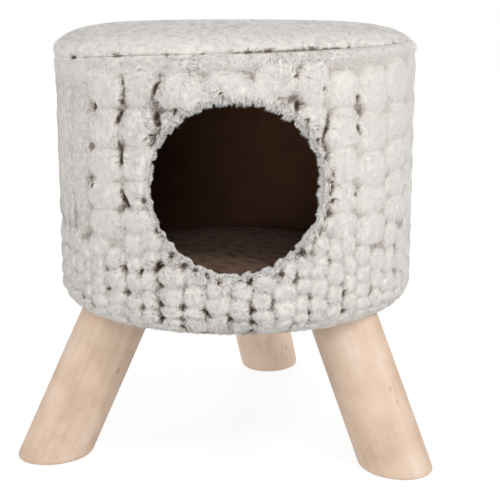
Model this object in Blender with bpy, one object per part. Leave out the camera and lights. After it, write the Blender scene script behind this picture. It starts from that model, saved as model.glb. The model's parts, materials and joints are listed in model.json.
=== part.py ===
# A cat stool: a plush-covered drum with a round cave inside, standing on three thick splayed
# wooden legs, with a loose cushion on the cave's floor. Metres, +Z up, entrance towards -Y.
import math

import bmesh
import bpy
from mathutils import Matrix, Vector

# Air between two pieces that touch
GAP = 0.0003

# Outer sizes of the drum, over the plush
DRUM_RADIUS = 0.180
DRUM_CLEARANCE = 0.1416  # floor to the drum's underside
DRUM_WALL_HEIGHT = 0.2530  # underside to where the seat starts to round over
SEAT_RISE = 0.0246  # from there to the flat middle of the seat
SEAT_FLATNESS = 6.2  # power of the seat's curve across: higher is flatter
SEAT_SOFTNESS = 1.5  # power of the seat's curve in height: lower is a softer edge
SEAT_FLAT_RADIUS = 0.055
SEAM_LIFT = 0.0024  # top seam above the start of the seat's curve
SEAM_DEPTH = 0.0025  # how far the top seam draws the plush in
SEAM_SPREAD = 0.004  # height over which it does, to each side
LOWER_ROUND = 0.0229

# Layers, from the outside in
PLUSH = 0.009
LEAST_PLUSH = 0.002  # left between the lower round and the wall's corner
HEM_PLUSH = 0.004  # plush pressed flat under the base board
HEM_WIDTH = 0.036  # from the padding's outside inwards
REAR_SEAM_DEPTH = 0.003
REAR_SEAM_WIDTH = 0.0015
CLOTH = 0.0008
CLOTH_LAP = 0.020  # cloth over the hem
WALL_PADDING = 0.005
SEAT_FOAM = 0.020
SHELL = 0.004
BASE_BOARD = 0.012
TOP_BOARD = 0.012
WALL_LINING = 0.004
FLAT_LINING = 0.002
JOINT_SLIT = 0.0006  # between the ends of a sheet that is rolled into a tube
BATTEN_WIDTH = 0.032
BATTEN_THICKNESS = 0.0024

# The entrance: a round hole, square to the wall, with a rolled plush rim
ENTRANCE_RADIUS = 0.0754  # clear, inside the rim
ENTRANCE_LIFT = 0.1368  # drum's underside to the entrance's centre
ENTRANCE_TURN = math.radians(1.1)
RIM_ROLL = 0.0095  # how far the rim stands into the hole
RIM_PROUD = 0.002  # how far it stands out of the plush

# The legs: round, cut level at both ends, each screwed on by hand to its own lean
LEG_RADIUS = 0.0331
LEG_SPLAY = math.radians(28.07)  # from upright
SOLE_ROUND = 0.0045
LEG_INSET = 0.0557  # the drum's side to each leg's bolt
BOLT_TURN = math.radians(-5.4)
LEG_TURNS = {
    "leg_rear": math.radians(-15.1),
    "leg_front_left": math.radians(8.1),
    "leg_front_right": math.radians(-10.9),
}

# Fasteners
BOLT_RADIUS = 0.004
BOLT_IN_LEG = 0.040
BOLT_BELOW_FACE = 0.001  # its upper end below the board's face
BOLT_TIP = 0.0025
NUT_RADIUS = 0.0055
NUT_FLANGE_RADIUS = 0.0115
NUT_FLANGE = 0.0015
SCREW_RADIUS = 0.00175
SCREW_HEAD_RADIUS = 0.0034
SCREW_HEAD = 0.0022
SCREW_POINT = 0.004
SCREW_LENGTH = 0.022
SCREWS_IN_A_RING = 6
STAPLE_WIDTH = 0.011
STAPLE_LENGTH = 0.010
STAPLE_WIRE = 0.0009
STAPLES_BETWEEN_LEGS = 2
STAPLE_SPREAD = math.radians(24)  # between neighbouring staples

# The loose cushion
CUSHION_PLAY = 0.003  # to the lining, all round
CUSHION_UNDER_SEAM = 0.011
CUSHION_OVER_SEAM = 0.021
CUSHION_FABRIC = 0.003
CUSHION_CROWN_POWER = 2.5
CUSHION_BASE_POWER = 5.0
CUSHION_FLAT_RADIUS = 0.035  # level in the middle

# How finely round shapes are divided
DRUM_STEPS = 48
ROUND_STEPS = 4
CROWN_STEPS = 6
CUSHION_STEPS = 40
CUSHION_CROWN_STEPS = 5
ENTRANCE_STEPS = 40
RIM_STEPS = 6
LEG_STEPS = 36
FASTENER_STEPS = 8
SHARP_ANGLE = math.radians(32)

# Levels worked out from the sizes above
UNDERSIDE = DRUM_CLEARANCE
HEM_UNDERSIDE = UNDERSIDE + CLOTH + GAP
HEM_TOP = HEM_UNDERSIDE + HEM_PLUSH
BASE_LOW = HEM_TOP + GAP
BASE_HIGH = BASE_LOW + BASE_BOARD
SEAT_START = UNDERSIDE + DRUM_WALL_HEIGHT
SEAM = SEAT_START + SEAM_LIFT
SEAT_TOP = SEAT_START + SEAT_RISE
FOAM_LOW = SEAT_TOP - PLUSH - GAP - SEAT_FOAM
TOP_HIGH = FOAM_LOW - GAP
TOP_LOW = TOP_HIGH - TOP_BOARD
LEG_TOP = BASE_LOW - GAP
CUSHION_LOW = BASE_HIGH + GAP + FLAT_LINING + GAP
CUSHION_SEAM = CUSHION_LOW + CUSHION_UNDER_SEAM
ENTRANCE_HEIGHT = UNDERSIDE + ENTRANCE_LIFT

# Radii worked out from the sizes above
COVER_INSIDE = DRUM_RADIUS - PLUSH
PADDING_OUTSIDE = COVER_INSIDE - GAP
PADDING_INSIDE = PADDING_OUTSIDE - WALL_PADDING
SHELL_OUTSIDE = PADDING_INSIDE - GAP
SHELL_INSIDE = SHELL_OUTSIDE - SHELL
BOARD_RADIUS = SHELL_INSIDE - GAP
LINING_INSIDE = BOARD_RADIUS - WALL_LINING
FLAT_LINING_RADIUS = LINING_INSIDE - GAP
HEM_INSIDE = PADDING_OUTSIDE - HEM_WIDTH
CLOTH_RADIUS = HEM_INSIDE + CLOTH_LAP
STAPLE_CIRCLE = HEM_INSIDE + CLOTH_LAP / 2
BOLT_CIRCLE = DRUM_RADIUS - LEG_INSET
HOLE_RADIUS = ENTRANCE_RADIUS + RIM_ROLL
CUSHION_RADIUS = LINING_INSIDE - CUSHION_PLAY

# Linear colour, roughness, metallic
FINISHES = {
    "plush": ((0.70, 0.68, 0.65), 0.95, 0.0),
    "dark_lining": ((0.020, 0.011, 0.007), 0.95, 0.0),
    "cushion_plush": ((0.040, 0.023, 0.017), 0.95, 0.0),
    "foam": ((0.80, 0.76, 0.62), 0.9, 0.0),
    "fibreboard": ((0.36, 0.23, 0.13), 0.75, 0.0),
    "black_cloth": ((0.012, 0.012, 0.012), 0.9, 0.0),
    "beech": ((0.70, 0.52, 0.37), 0.55, 0.0),
    "zinc": ((0.58, 0.58, 0.60), 0.35, 1.0),
}


def clear_scene():
    for thing in list(bpy.data.objects):
        bpy.data.objects.remove(thing, do_unlink=True)


def make_finishes():
    finishes = {}
    for name, (colour, roughness, metallic) in FINISHES.items():
        finish = bpy.data.materials.new(name)
        finish.use_nodes = True
        shader = finish.node_tree.nodes["Principled BSDF"]
        shader.inputs["Base Color"].default_value = (*colour, 1.0)
        shader.inputs["Roughness"].default_value = roughness
        shader.inputs["Metallic"].default_value = metallic
        finishes[name] = finish
    return finishes


def add_empty(name, parent=None, location=(0, 0, 0), turn=0.0):
    empty = bpy.data.objects.new(name, None)
    empty.location = location
    empty.rotation_euler = (0, 0, turn)
    empty.parent = parent
    bpy.context.scene.collection.objects.link(empty)
    return empty


def add_piece(name, mesh, parent, finish=None):
    """Turns a bmesh into an object; without a finish it is a cutter."""
    bmesh.ops.recalc_face_normals(mesh, faces=mesh.faces)
    data = bpy.data.meshes.new(name)
    mesh.to_mesh(data)
    mesh.free()
    piece = bpy.data.objects.new(name, data)
    piece.parent = parent
    bpy.context.scene.collection.objects.link(piece)
    if finish is None:
        piece.hide_render = True
        piece.display_type = "WIRE"
        return piece
    data.materials.append(finish)
    data.shade_smooth()
    data.set_sharp_from_angle(angle=SHARP_ANGLE)
    return piece


def cut(piece, *cutters):
    for cutter in cutters:
        modifier = piece.modifiers.new(cutter.name, "BOOLEAN")
        modifier.operation = "DIFFERENCE"
        modifier.solver = "EXACT"
        modifier.object = cutter


def arc(radius, height, size, start, end, steps):
    """Points of a round corner in a turned profile, its angles in degrees from outwards."""
    angles = [math.radians(start + (end - start) * i / steps) for i in range(steps + 1)]
    return [(radius + size * math.cos(a), height + size * math.sin(a)) for a in angles]


def domed(radius, rise, across, upwards, steps, flat=0.0):
    """Points of a flattened quarter curve, from its outer foot to the level middle."""
    angles = [math.pi / 2 * i / steps for i in range(steps)]
    steps_out = [radius * math.cos(a) ** (2 / across) for a in angles]
    steps_up = [rise * math.sin(a) ** (2 / upwards) for a in angles]
    points = [point for point in zip(steps_out, steps_up) if point[0] > flat]
    return points + [(flat, rise), (0.0, rise)]


def spin_profile(mesh, profile, steps, place=Matrix()):
    """Turns a profile of (radius, height) about Z into a closed solid, then places it."""
    corners = [mesh.verts.new((radius, 0, height)) for radius, height in profile]
    pairs = list(zip(corners, corners[1:]))
    if profile[0][0] > 0:
        pairs.append((corners[-1], corners[0]))
    edges = [mesh.edges.new(pair) for pair in pairs]
    before = {v for v in mesh.verts} - set(corners)
    outline = corners + edges
    bmesh.ops.spin(
        mesh, geom=outline, cent=(0, 0, 0), axis=(0, 0, 1), angle=math.tau, steps=steps, use_merge=True
    )
    new = [v for v in mesh.verts if v not in before]
    bmesh.ops.remove_doubles(mesh, verts=new, dist=0.000001)
    new = [v for v in mesh.verts if v not in before]
    bmesh.ops.transform(mesh, matrix=place, verts=new)


def turned(name, profile, parent, finish=None, steps=DRUM_STEPS):
    mesh = bmesh.new()
    spin_profile(mesh, profile, steps)
    return add_piece(name, mesh, parent, finish)


def tube_profile(inside, outside, low, high):
    return [(outside, low), (outside, high), (inside, high), (inside, low)]


def disc_profile(radius, low, high):
    return [(0.0, low), (radius, low), (radius, high), (0.0, high)]


def add_copies(names, mesh, places, parent, finish):
    """One object at each place, all of them sharing one mesh."""
    first = add_piece(names[0], mesh, parent, finish)
    first.matrix_local = places[0]
    for name, place in zip(names[1:], places[1:]):
        copy = bpy.data.objects.new(name, first.data)
        copy.parent = parent
        copy.matrix_local = place
        bpy.context.scene.collection.objects.link(copy)


def add_box(mesh, size, centre, place=Matrix()):
    grown = Matrix.Diagonal((*size, 1.0))
    bmesh.ops.create_cube(mesh, size=1.0, matrix=place @ Matrix.Translation(centre) @ grown)


def around(radius, angle, height):
    """A place on a circle about the drum's axis, its own X pointing outwards."""
    return Matrix.Rotation(angle, 4, "Z") @ Matrix.Translation((radius, 0, height))


def lower_round():
    """The plush's lower round, kept small enough to cover the wall's corner."""
    inner = WALL_PADDING + GAP
    across = PLUSH + inner
    upwards = HEM_TOP - UNDERSIDE + inner
    reach = across + upwards - inner - LEAST_PLUSH
    room = reach**2 - across**2 - upwards**2 + (inner + LEAST_PLUSH) ** 2
    return min(LOWER_ROUND, reach + math.sqrt(max(room, 0.0)))


def bolt_angles():
    """Angle of each leg's bolt about the drum's axis, by the leg's name."""
    third = math.tau / len(LEG_TURNS)
    return {name: math.pi / 2 + BOLT_TURN + third * i for i, name in enumerate(LEG_TURNS)}


def slice_off(mesh, point, outwards):
    """Cuts away what lies beyond a plane and closes the cut."""
    everything = mesh.verts[:] + mesh.edges[:] + mesh.faces[:]
    level = bmesh.ops.bisect_plane(
        mesh, geom=everything, plane_co=point, plane_no=outwards, clear_outer=True
    )
    rim = [item for item in level["geom_cut"] if isinstance(item, bmesh.types.BMEdge)]
    bmesh.ops.holes_fill(mesh, edges=rim)


def bolt_places():
    return [around(BOLT_CIRCLE, angle, 0) for angle in bolt_angles().values()]


def leg_names(piece):
    """Names such as tee_nut_rear, in the order of the bolt places."""
    return [name.replace("leg", piece) for name in LEG_TURNS]


def add_leg_body(mesh, radius, low, high):
    """A round bar through the bolt's place on Z, leaning out towards +X, cut level at both ends."""
    length = 4 * (high + radius)
    lean = Matrix.Translation((0, 0, LEG_TOP)) @ Matrix.Rotation(-LEG_SPLAY, 4, "Y")
    bmesh.ops.create_cone(
        mesh, cap_ends=True, segments=LEG_STEPS, radius1=radius, radius2=radius, depth=length, matrix=lean
    )
    slice_off(mesh, (0, 0, low), (0, 0, -1))
    slice_off(mesh, (0, 0, high), (0, 0, 1))


def leg_place(name, angle):
    bolt = around(BOLT_CIRCLE, angle, 0)
    return bolt @ Matrix.Rotation(LEG_TURNS[name], 4, "Z")


def make_legs(stool, finish, bolt_holes):
    for name, angle in bolt_angles().items():
        mesh = bmesh.new()
        add_leg_body(mesh, LEG_RADIUS, 0.0, LEG_TOP)
        sole = [edge for edge in mesh.edges if max(v.co.z for v in edge.verts) < GAP]
        bmesh.ops.bevel(mesh, geom=sole, offset=SOLE_ROUND, segments=3, profile=0.5, affect="EDGES")
        leg = add_piece(name, mesh, stool, finish)
        leg.matrix_local = leg_place(name, angle)
        cut(leg, bolt_holes)


def make_leg_space(stool):
    """What the legs press out of the cloth and the hem under the base board."""
    mesh = bmesh.new()
    for name, angle in bolt_angles().items():
        one = bmesh.new()
        add_leg_body(one, LEG_RADIUS + GAP, UNDERSIDE - LEG_RADIUS, BASE_LOW)
        bmesh.ops.transform(one, matrix=leg_place(name, angle), verts=one.verts)
        append_mesh(mesh, one)
    return add_piece("leg_space", mesh, stool)


def append_mesh(mesh, other):
    data = bpy.data.meshes.new("joined")
    other.to_mesh(data)
    other.free()
    mesh.from_mesh(data)
    bpy.data.meshes.remove(data)


def make_bolts(stool, finish):
    """Hanger bolts: the lower half screwed into the leg, the upper half into the tee nut."""
    low = LEG_TOP - BOLT_IN_LEG
    high = BASE_HIGH - BOLT_BELOW_FACE
    profile = [(0.0, low), (BOLT_RADIUS / 2, low), (BOLT_RADIUS, low + BOLT_TIP)]
    profile += [(BOLT_RADIUS, high - BOLT_TIP / 3), (BOLT_RADIUS - BOLT_TIP / 3, high), (0.0, high)]
    mesh = bmesh.new()
    spin_profile(mesh, profile, FASTENER_STEPS)
    add_copies(leg_names("hanger_bolt"), mesh, bolt_places(), stool, finish)


def make_holes(name, stool, profile, places):
    mesh = bmesh.new()
    for place in places:
        spin_profile(mesh, profile, FASTENER_STEPS, place)
    return add_piece(name, mesh, stool)


def make_bolt_holes(stool):
    profile = disc_profile(BOLT_RADIUS + GAP, LEG_TOP - BOLT_IN_LEG - GAP, LEG_TOP + GAP)
    return make_holes("bolt_holes", stool, profile, bolt_places())


def make_nuts(stool, finish):
    """Tee nuts: a barrel up the board's hole, its flange let into the board's upper face."""
    ledge = BASE_HIGH - NUT_FLANGE
    bore = BOLT_RADIUS + GAP
    profile = [(bore, BASE_LOW + GAP), (NUT_RADIUS, BASE_LOW + GAP), (NUT_RADIUS, ledge)]
    profile += [(NUT_FLANGE_RADIUS, ledge), (NUT_FLANGE_RADIUS, BASE_HIGH), (bore, BASE_HIGH)]
    mesh = bmesh.new()
    spin_profile(mesh, profile, FASTENER_STEPS)
    add_copies(leg_names("tee_nut"), mesh, bolt_places(), stool, finish)


def make_nut_holes(stool):
    ledge = BASE_HIGH - NUT_FLANGE - GAP
    barrel = NUT_RADIUS + GAP
    flange = NUT_FLANGE_RADIUS + GAP
    profile = [(0.0, BASE_LOW - BASE_BOARD), (barrel, BASE_LOW - BASE_BOARD), (barrel, ledge)]
    profile += [(flange, ledge), (flange, BASE_HIGH + BASE_BOARD), (0.0, BASE_HIGH + BASE_BOARD)]
    return make_holes("nut_holes", stool, profile, bolt_places())


def screw_profile(extra):
    """A countersunk screw from its head's face at 0 to its point, or its hole, larger by extra."""
    head = SCREW_HEAD_RADIUS + extra
    shank = SCREW_RADIUS + extra
    face = -extra * 4
    tip = SCREW_LENGTH + extra
    return [
        (0.0, face),
        (head, face),
        (head, extra),
        (shank, SCREW_HEAD),
        (shank, tip - SCREW_POINT),
        (shank / 4, tip),
        (0.0, tip),
    ]


def screw_places():
    """Two rings of screws through the shell, one into each board's edge."""
    inwards = Matrix.Rotation(-math.pi / 2, 4, "Y")
    places = {}
    for ring, height in (("low", (BASE_LOW + BASE_HIGH) / 2), ("top", (TOP_LOW + TOP_HIGH) / 2)):
        for i in range(SCREWS_IN_A_RING):
            angle = math.tau * (i + 0.5) / SCREWS_IN_A_RING
            places[f"shell_screw_{ring}_{i + 1}"] = around(SHELL_OUTSIDE - GAP, angle, height) @ inwards
    return places


def make_screws(stool, finish):
    mesh = bmesh.new()
    spin_profile(mesh, screw_profile(0.0), FASTENER_STEPS)
    places = screw_places()
    add_copies(list(places), mesh, list(places.values()), stool, finish)


def make_screw_holes(stool):
    return make_holes("screw_holes", stool, screw_profile(GAP), screw_places().values())


def staple_places():
    places = []
    for angle in bolt_angles().values():
        middle = angle + math.pi / len(LEG_TURNS)
        for i in range(STAPLES_BETWEEN_LEGS):
            step = i - (STAPLES_BETWEEN_LEGS - 1) / 2
            places.append(around(STAPLE_CIRCLE, middle + step * STAPLE_SPREAD, UNDERSIDE - GAP))
    return places


def make_staples(stool, finish):
    """Staples through the cloth and the hem into the base board."""
    half = STAPLE_WIDTH / 2
    wire = STAPLE_WIRE
    outline = [(-half, -wire), (half, -wire), (half, STAPLE_LENGTH), (half - wire, STAPLE_LENGTH)]
    outline += [(half - wire, 0), (wire - half, 0), (wire - half, STAPLE_LENGTH), (-half, STAPLE_LENGTH)]
    mesh = bmesh.new()
    face = mesh.faces.new([mesh.verts.new((-wire / 2, y, z)) for y, z in outline])
    side = bmesh.ops.extrude_face_region(mesh, geom=[face])
    moved = [item for item in side["geom"] if isinstance(item, bmesh.types.BMVert)]
    bmesh.ops.translate(mesh, vec=(wire, 0, 0), verts=moved)
    places = staple_places()
    names = [f"underside_staple_{i + 1}" for i in range(len(places))]
    add_copies(names, mesh, places, stool, finish)


def make_staple_holes(stool):
    mesh = bmesh.new()
    across = STAPLE_WIRE + 2 * GAP
    height = STAPLE_LENGTH + 2 * GAP
    for place in staple_places():
        for side in (-1, 1):
            centre = (0, side * (STAPLE_WIDTH - STAPLE_WIRE) / 2, height / 2 - GAP / 2)
            add_box(mesh, (across, across, height), centre, place)
    return add_piece("staple_holes", mesh, stool)


def make_entrance_cutter(entrance):
    """A round bar through the front wall, level with the rim's centre."""
    depth = DRUM_RADIUS
    mesh = bmesh.new()
    place = Matrix.Translation((0, -depth, ENTRANCE_HEIGHT)) @ Matrix.Rotation(math.pi / 2, 4, "X")
    spin_profile(mesh, disc_profile(HOLE_RADIUS, -depth / 2, depth / 2), ENTRANCE_STEPS, place)
    return add_piece("entrance_cutter", mesh, entrance)


def make_entrance_rim(entrance, finish):
    """The rolled rim: a half-round section spun about the entrance's axis as if the wall were
    flat, then every point is moved along that axis onto the round wall."""
    inside = LINING_INSIDE + GAP
    outside = DRUM_RADIUS + RIM_PROUD
    middle = (inside + outside) / 2
    half = (outside - inside) / 2
    section = []
    for i in range(RIM_STEPS + 1):
        angle = math.pi * (i / RIM_STEPS - 0.5)
        section.append((HOLE_RADIUS - GAP - RIM_ROLL * math.cos(angle), middle + half * math.sin(angle)))
    mesh = bmesh.new()
    corners = [mesh.verts.new((radius, -depth, 0)) for radius, depth in section]
    edges = [mesh.edges.new(pair) for pair in zip(corners, corners[1:] + corners[:1])]
    bmesh.ops.spin(
        mesh,
        geom=corners + edges,
        cent=(0, 0, 0),
        axis=(0, 1, 0),
        angle=math.tau,
        steps=ENTRANCE_STEPS,
        use_merge=True,
    )
    bmesh.ops.remove_doubles(mesh, verts=mesh.verts, dist=0.000001)
    for vert in mesh.verts:
        vert.co.y = -math.sqrt(vert.co.y**2 - vert.co.x**2)
        vert.co.z += ENTRANCE_HEIGHT
    add_piece("entrance_rim", mesh, entrance, finish)


def make_rear_slit(stool):
    """Parts the ends of the sheets that are rolled into the wall's layers."""
    mesh = bmesh.new()
    depth = PADDING_OUTSIDE - LINING_INSIDE + 4 * GAP
    centre = (0, (PADDING_OUTSIDE + LINING_INSIDE) / 2, (UNDERSIDE + SEAT_TOP) / 2)
    add_box(mesh, (JOINT_SLIT, depth, SEAT_TOP - UNDERSIDE), centre)
    return add_piece("rear_slit", mesh, stool)


def make_batten(name, stool, extra, finish=None):
    """The strip that joins the shell's ends, curved to the shell, or its place in the lining."""
    outside = SHELL_INSIDE - GAP + extra
    inside = SHELL_INSIDE - GAP - BATTEN_THICKNESS - extra
    half = BATTEN_WIDTH / 2 + extra
    low = BASE_HIGH + GAP - extra * 4
    high = TOP_LOW - GAP + extra * 4
    mesh = bmesh.new()
    spin_profile(mesh, tube_profile(inside, outside, low, high), DRUM_STEPS)
    slice_off(mesh, (0, 0, 0), (0, -1, 0))
    slice_off(mesh, (half, 0, 0), (1, 0, 0))
    slice_off(mesh, (-half, 0, 0), (-1, 0, 0))
    return add_piece(name, mesh, stool, finish)


def make_boards(stool, finishes, screw_holes, staple_holes, nut_holes):
    board = finishes["fibreboard"]
    base = turned("base_board", disc_profile(BOARD_RADIUS, BASE_LOW, BASE_HIGH), stool, board)
    cut(base, nut_holes, screw_holes, staple_holes)
    top = turned("top_board", disc_profile(BOARD_RADIUS, TOP_LOW, TOP_HIGH), stool, board)
    cut(top, screw_holes)


def make_wall(stool, finishes, entrance_cutter, screw_holes, slit):
    """The shell that carries the seat, its padding, and the batten that joins its ends."""
    profile = tube_profile(SHELL_INSIDE, SHELL_OUTSIDE, BASE_LOW, TOP_HIGH)
    shell = turned("wall_shell", profile, stool, finishes["fibreboard"])
    cut(shell, entrance_cutter, slit, screw_holes)
    make_batten("wall_batten", stool, 0.0, finishes["fibreboard"])
    corner = arc(PADDING_INSIDE, BASE_LOW + WALL_PADDING, WALL_PADDING, -90, 0, ROUND_STEPS)
    profile = corner + [(PADDING_OUTSIDE, TOP_HIGH), (PADDING_INSIDE, TOP_HIGH)]
    padding = turned("wall_padding", profile, stool, finishes["foam"])
    cut(padding, entrance_cutter, slit)


def seat_curve(radius, rise, flat):
    points = domed(radius, rise, SEAT_FLATNESS, SEAT_SOFTNESS, CROWN_STEPS, flat)
    return [(r, SEAT_START + z) for r, z in points]


def above_seam(points, seam):
    """The part of a seat curve above the seam, starting at the seam."""
    upper = [point for point in points if point[1] > seam]
    last = [point for point in points if point[1] <= seam][-1]
    share = (seam - last[1]) / (upper[0][1] - last[1])
    return [(last[0] + share * (upper[0][0] - last[0]), seam)] + upper


def make_seat(stool, finishes):
    """The foam on the top board and the plush stretched over it, down to the top seam."""
    top = seat_curve(PADDING_OUTSIDE, SEAT_RISE - PLUSH - GAP, SEAT_FLAT_RADIUS)
    profile = [(0.0, FOAM_LOW), (PADDING_OUTSIDE, FOAM_LOW)] + top
    turned("seat_foam", profile, stool, finishes["foam"])
    low = SEAM + GAP / 2
    outer = above_seam(seat_curve(DRUM_RADIUS, SEAT_RISE, SEAT_FLAT_RADIUS), low + SEAM_SPREAD)
    inner = above_seam(seat_curve(COVER_INSIDE, SEAT_RISE - PLUSH, SEAT_FLAT_RADIUS), low)
    lip = [(DRUM_RADIUS - SEAM_DEPTH, low)]
    turned("top_cover", inner[::-1] + lip + outer, stool, finishes["plush"])


def make_side_cover(stool, finishes, entrance_cutter, leg_space, staple_holes):
    """The plush sleeve: from the top seam down the wall, round the lower edge and under the
    base board, where its hem is pressed flat."""
    size = lower_round()
    high = SEAM - GAP / 2
    outer = [(DRUM_RADIUS - SEAM_DEPTH, high), (DRUM_RADIUS, high - SEAM_SPREAD)]
    outer += arc(DRUM_RADIUS - size, UNDERSIDE + size, size, 0, -90, ROUND_STEPS + 1)
    edge = CLOTH_RADIUS + GAP
    hem = [(edge, UNDERSIDE), (edge, HEM_UNDERSIDE), (HEM_INSIDE, HEM_UNDERSIDE), (HEM_INSIDE, HEM_TOP)]
    inner_size = WALL_PADDING + GAP
    inner = arc(COVER_INSIDE - inner_size, HEM_TOP + inner_size, inner_size, -90, 0, ROUND_STEPS)
    profile = outer + hem + inner + [(COVER_INSIDE, high)]
    cover = turned("side_cover", profile, stool, finishes["plush"])
    mesh = bmesh.new()
    depth = 2 * REAR_SEAM_DEPTH
    height = DRUM_WALL_HEIGHT + SEAT_RISE
    add_box(mesh, (REAR_SEAM_WIDTH, depth, height), (0, DRUM_RADIUS, UNDERSIDE + size + height / 2))
    rear_seam = add_piece("rear_seam", mesh, stool)
    cut(cover, entrance_cutter, leg_space, staple_holes, rear_seam)


def make_linings(stool, finishes, entrance_cutter, slit):
    dark = finishes["dark_lining"]
    low = BASE_HIGH + GAP
    high = TOP_LOW - GAP
    wall = turned("wall_lining", tube_profile(LINING_INSIDE, BOARD_RADIUS, low, high), stool, dark)
    batten_place = make_batten("batten_place", stool, GAP)
    cut(wall, entrance_cutter, batten_place, slit)
    turned("ceiling_lining", disc_profile(FLAT_LINING_RADIUS, high - FLAT_LINING, high), stool, dark)
    turned("floor_lining", disc_profile(FLAT_LINING_RADIUS, low, low + FLAT_LINING), stool, dark)


def make_underside_cloth(stool, finishes, leg_space, staple_holes):
    """Thin cloth that closes the underside and laps over the hem's raw edge: it lies on the board
    in the middle and steps down over the hem."""
    lap = HEM_INSIDE - GAP
    low = UNDERSIDE + CLOTH
    high = BASE_LOW - GAP
    upper = [(0.0, high), (lap - CLOTH, high), (lap, high - CLOTH), (lap, low), (CLOTH_RADIUS, low)]
    lower = [(CLOTH_RADIUS, UNDERSIDE), (lap - CLOTH, UNDERSIDE), (lap - 2 * CLOTH, high - CLOTH)]
    profile = upper + lower + [(0.0, high - CLOTH)]
    cloth = turned("underside_cloth", profile, stool, finishes["black_cloth"])
    cut(cloth, leg_space, staple_holes)


def pillow_half(radius, rise, power, steps):
    return domed(radius, rise, power, 2.0, steps, CUSHION_FLAT_RADIUS)


def make_cushion(stool, finishes):
    """A loose round cushion: two fabric panels that meet at a seam, over a foam core."""
    holder = add_empty("cushion", stool, (0, 0, CUSHION_SEAM))
    dark = finishes["cushion_plush"]

    def panel(name, rise, power, side):
        within = CUSHION_RADIUS - CUSHION_FABRIC
        outer = pillow_half(CUSHION_RADIUS, rise - GAP / 2, power, CUSHION_CROWN_STEPS)
        inner = pillow_half(within, rise - GAP / 2 - CUSHION_FABRIC, power, CUSHION_CROWN_STEPS)
        profile = [(r, side * (z + GAP / 2)) for r, z in inner[::-1] + outer]
        turned(name, profile, holder, dark, CUSHION_STEPS)

    panel("cushion_top", CUSHION_OVER_SEAM, CUSHION_CROWN_POWER, 1)
    panel("cushion_base", CUSHION_UNDER_SEAM, CUSHION_BASE_POWER, -1)
    radius = CUSHION_RADIUS - CUSHION_FABRIC - GAP
    inset = CUSHION_FABRIC + GAP
    upper = pillow_half(radius, CUSHION_OVER_SEAM - inset, CUSHION_CROWN_POWER, CUSHION_CROWN_STEPS)
    under = pillow_half(radius, CUSHION_UNDER_SEAM - inset, CUSHION_BASE_POWER, CUSHION_CROWN_STEPS)
    profile = [(r, -z) for r, z in under[:0:-1]] + upper
    turned("cushion_core", profile, holder, finishes["foam"], CUSHION_STEPS)


def centre_on_floor(stool):
    """Moves the stool so that the middle of its box, at floor level, is the origin."""
    bpy.context.view_layer.update()
    depsgraph = bpy.context.evaluated_depsgraph_get()
    corners = []
    for thing in bpy.data.objects:
        if thing.type == "MESH" and not thing.hide_render:
            shown = thing.evaluated_get(depsgraph)
            corners += [shown.matrix_world @ vert.co for vert in shown.data.vertices]
    for axis in (0, 1):
        values = [corner[axis] for corner in corners]
        stool.location[axis] = -(min(values) + max(values)) / 2
    bpy.context.view_layer.update()


def main():
    clear_scene()
    finishes = make_finishes()
    stool = add_empty("stool")
    entrance = add_empty("entrance", stool, turn=ENTRANCE_TURN)
    entrance_cutter = make_entrance_cutter(entrance)
    leg_space = make_leg_space(stool)
    slit = make_rear_slit(stool)
    staple_holes = make_staple_holes(stool)
    screw_holes = make_screw_holes(stool)
    make_legs(stool, finishes["beech"], make_bolt_holes(stool))
    make_bolts(stool, finishes["zinc"])
    make_nuts(stool, finishes["zinc"])
    make_staples(stool, finishes["zinc"])
    make_screws(stool, finishes["zinc"])
    make_boards(stool, finishes, screw_holes, staple_holes, make_nut_holes(stool))
    make_wall(stool, finishes, entrance_cutter, screw_holes, slit)
    make_seat(stool, finishes)
    make_side_cover(stool, finishes, entrance_cutter, leg_space, staple_holes)
    make_entrance_rim(entrance, finishes["plush"])
    make_linings(stool, finishes, entrance_cutter, slit)
    make_underside_cloth(stool, finishes, leg_space, staple_holes)
    make_cushion(stool, finishes)
    centre_on_floor(stool)


main()
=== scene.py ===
# The looks of a plush cat stool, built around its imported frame.
import json
import math

import bmesh
import bpy
import numpy as np
from mathutils import Matrix, Vector


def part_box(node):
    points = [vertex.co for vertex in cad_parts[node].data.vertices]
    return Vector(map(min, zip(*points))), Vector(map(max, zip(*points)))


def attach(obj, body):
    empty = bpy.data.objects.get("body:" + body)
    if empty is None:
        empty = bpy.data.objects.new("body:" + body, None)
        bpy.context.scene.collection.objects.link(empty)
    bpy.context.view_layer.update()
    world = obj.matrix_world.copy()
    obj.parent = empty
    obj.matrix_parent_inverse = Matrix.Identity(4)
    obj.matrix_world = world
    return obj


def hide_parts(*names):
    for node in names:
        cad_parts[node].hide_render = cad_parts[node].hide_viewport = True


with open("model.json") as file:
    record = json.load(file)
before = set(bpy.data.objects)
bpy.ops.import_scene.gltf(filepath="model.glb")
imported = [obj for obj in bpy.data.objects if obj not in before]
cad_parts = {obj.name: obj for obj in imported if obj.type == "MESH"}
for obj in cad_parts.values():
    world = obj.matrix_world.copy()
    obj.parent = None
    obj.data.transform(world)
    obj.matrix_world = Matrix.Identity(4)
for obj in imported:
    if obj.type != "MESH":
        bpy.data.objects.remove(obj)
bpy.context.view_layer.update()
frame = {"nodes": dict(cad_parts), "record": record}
print("frame loaded")


# Places read from the frame: the drum's axis, its levels and its entrance.
def middleOf(box):
    return (box[0] + box[1]) / 2


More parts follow.
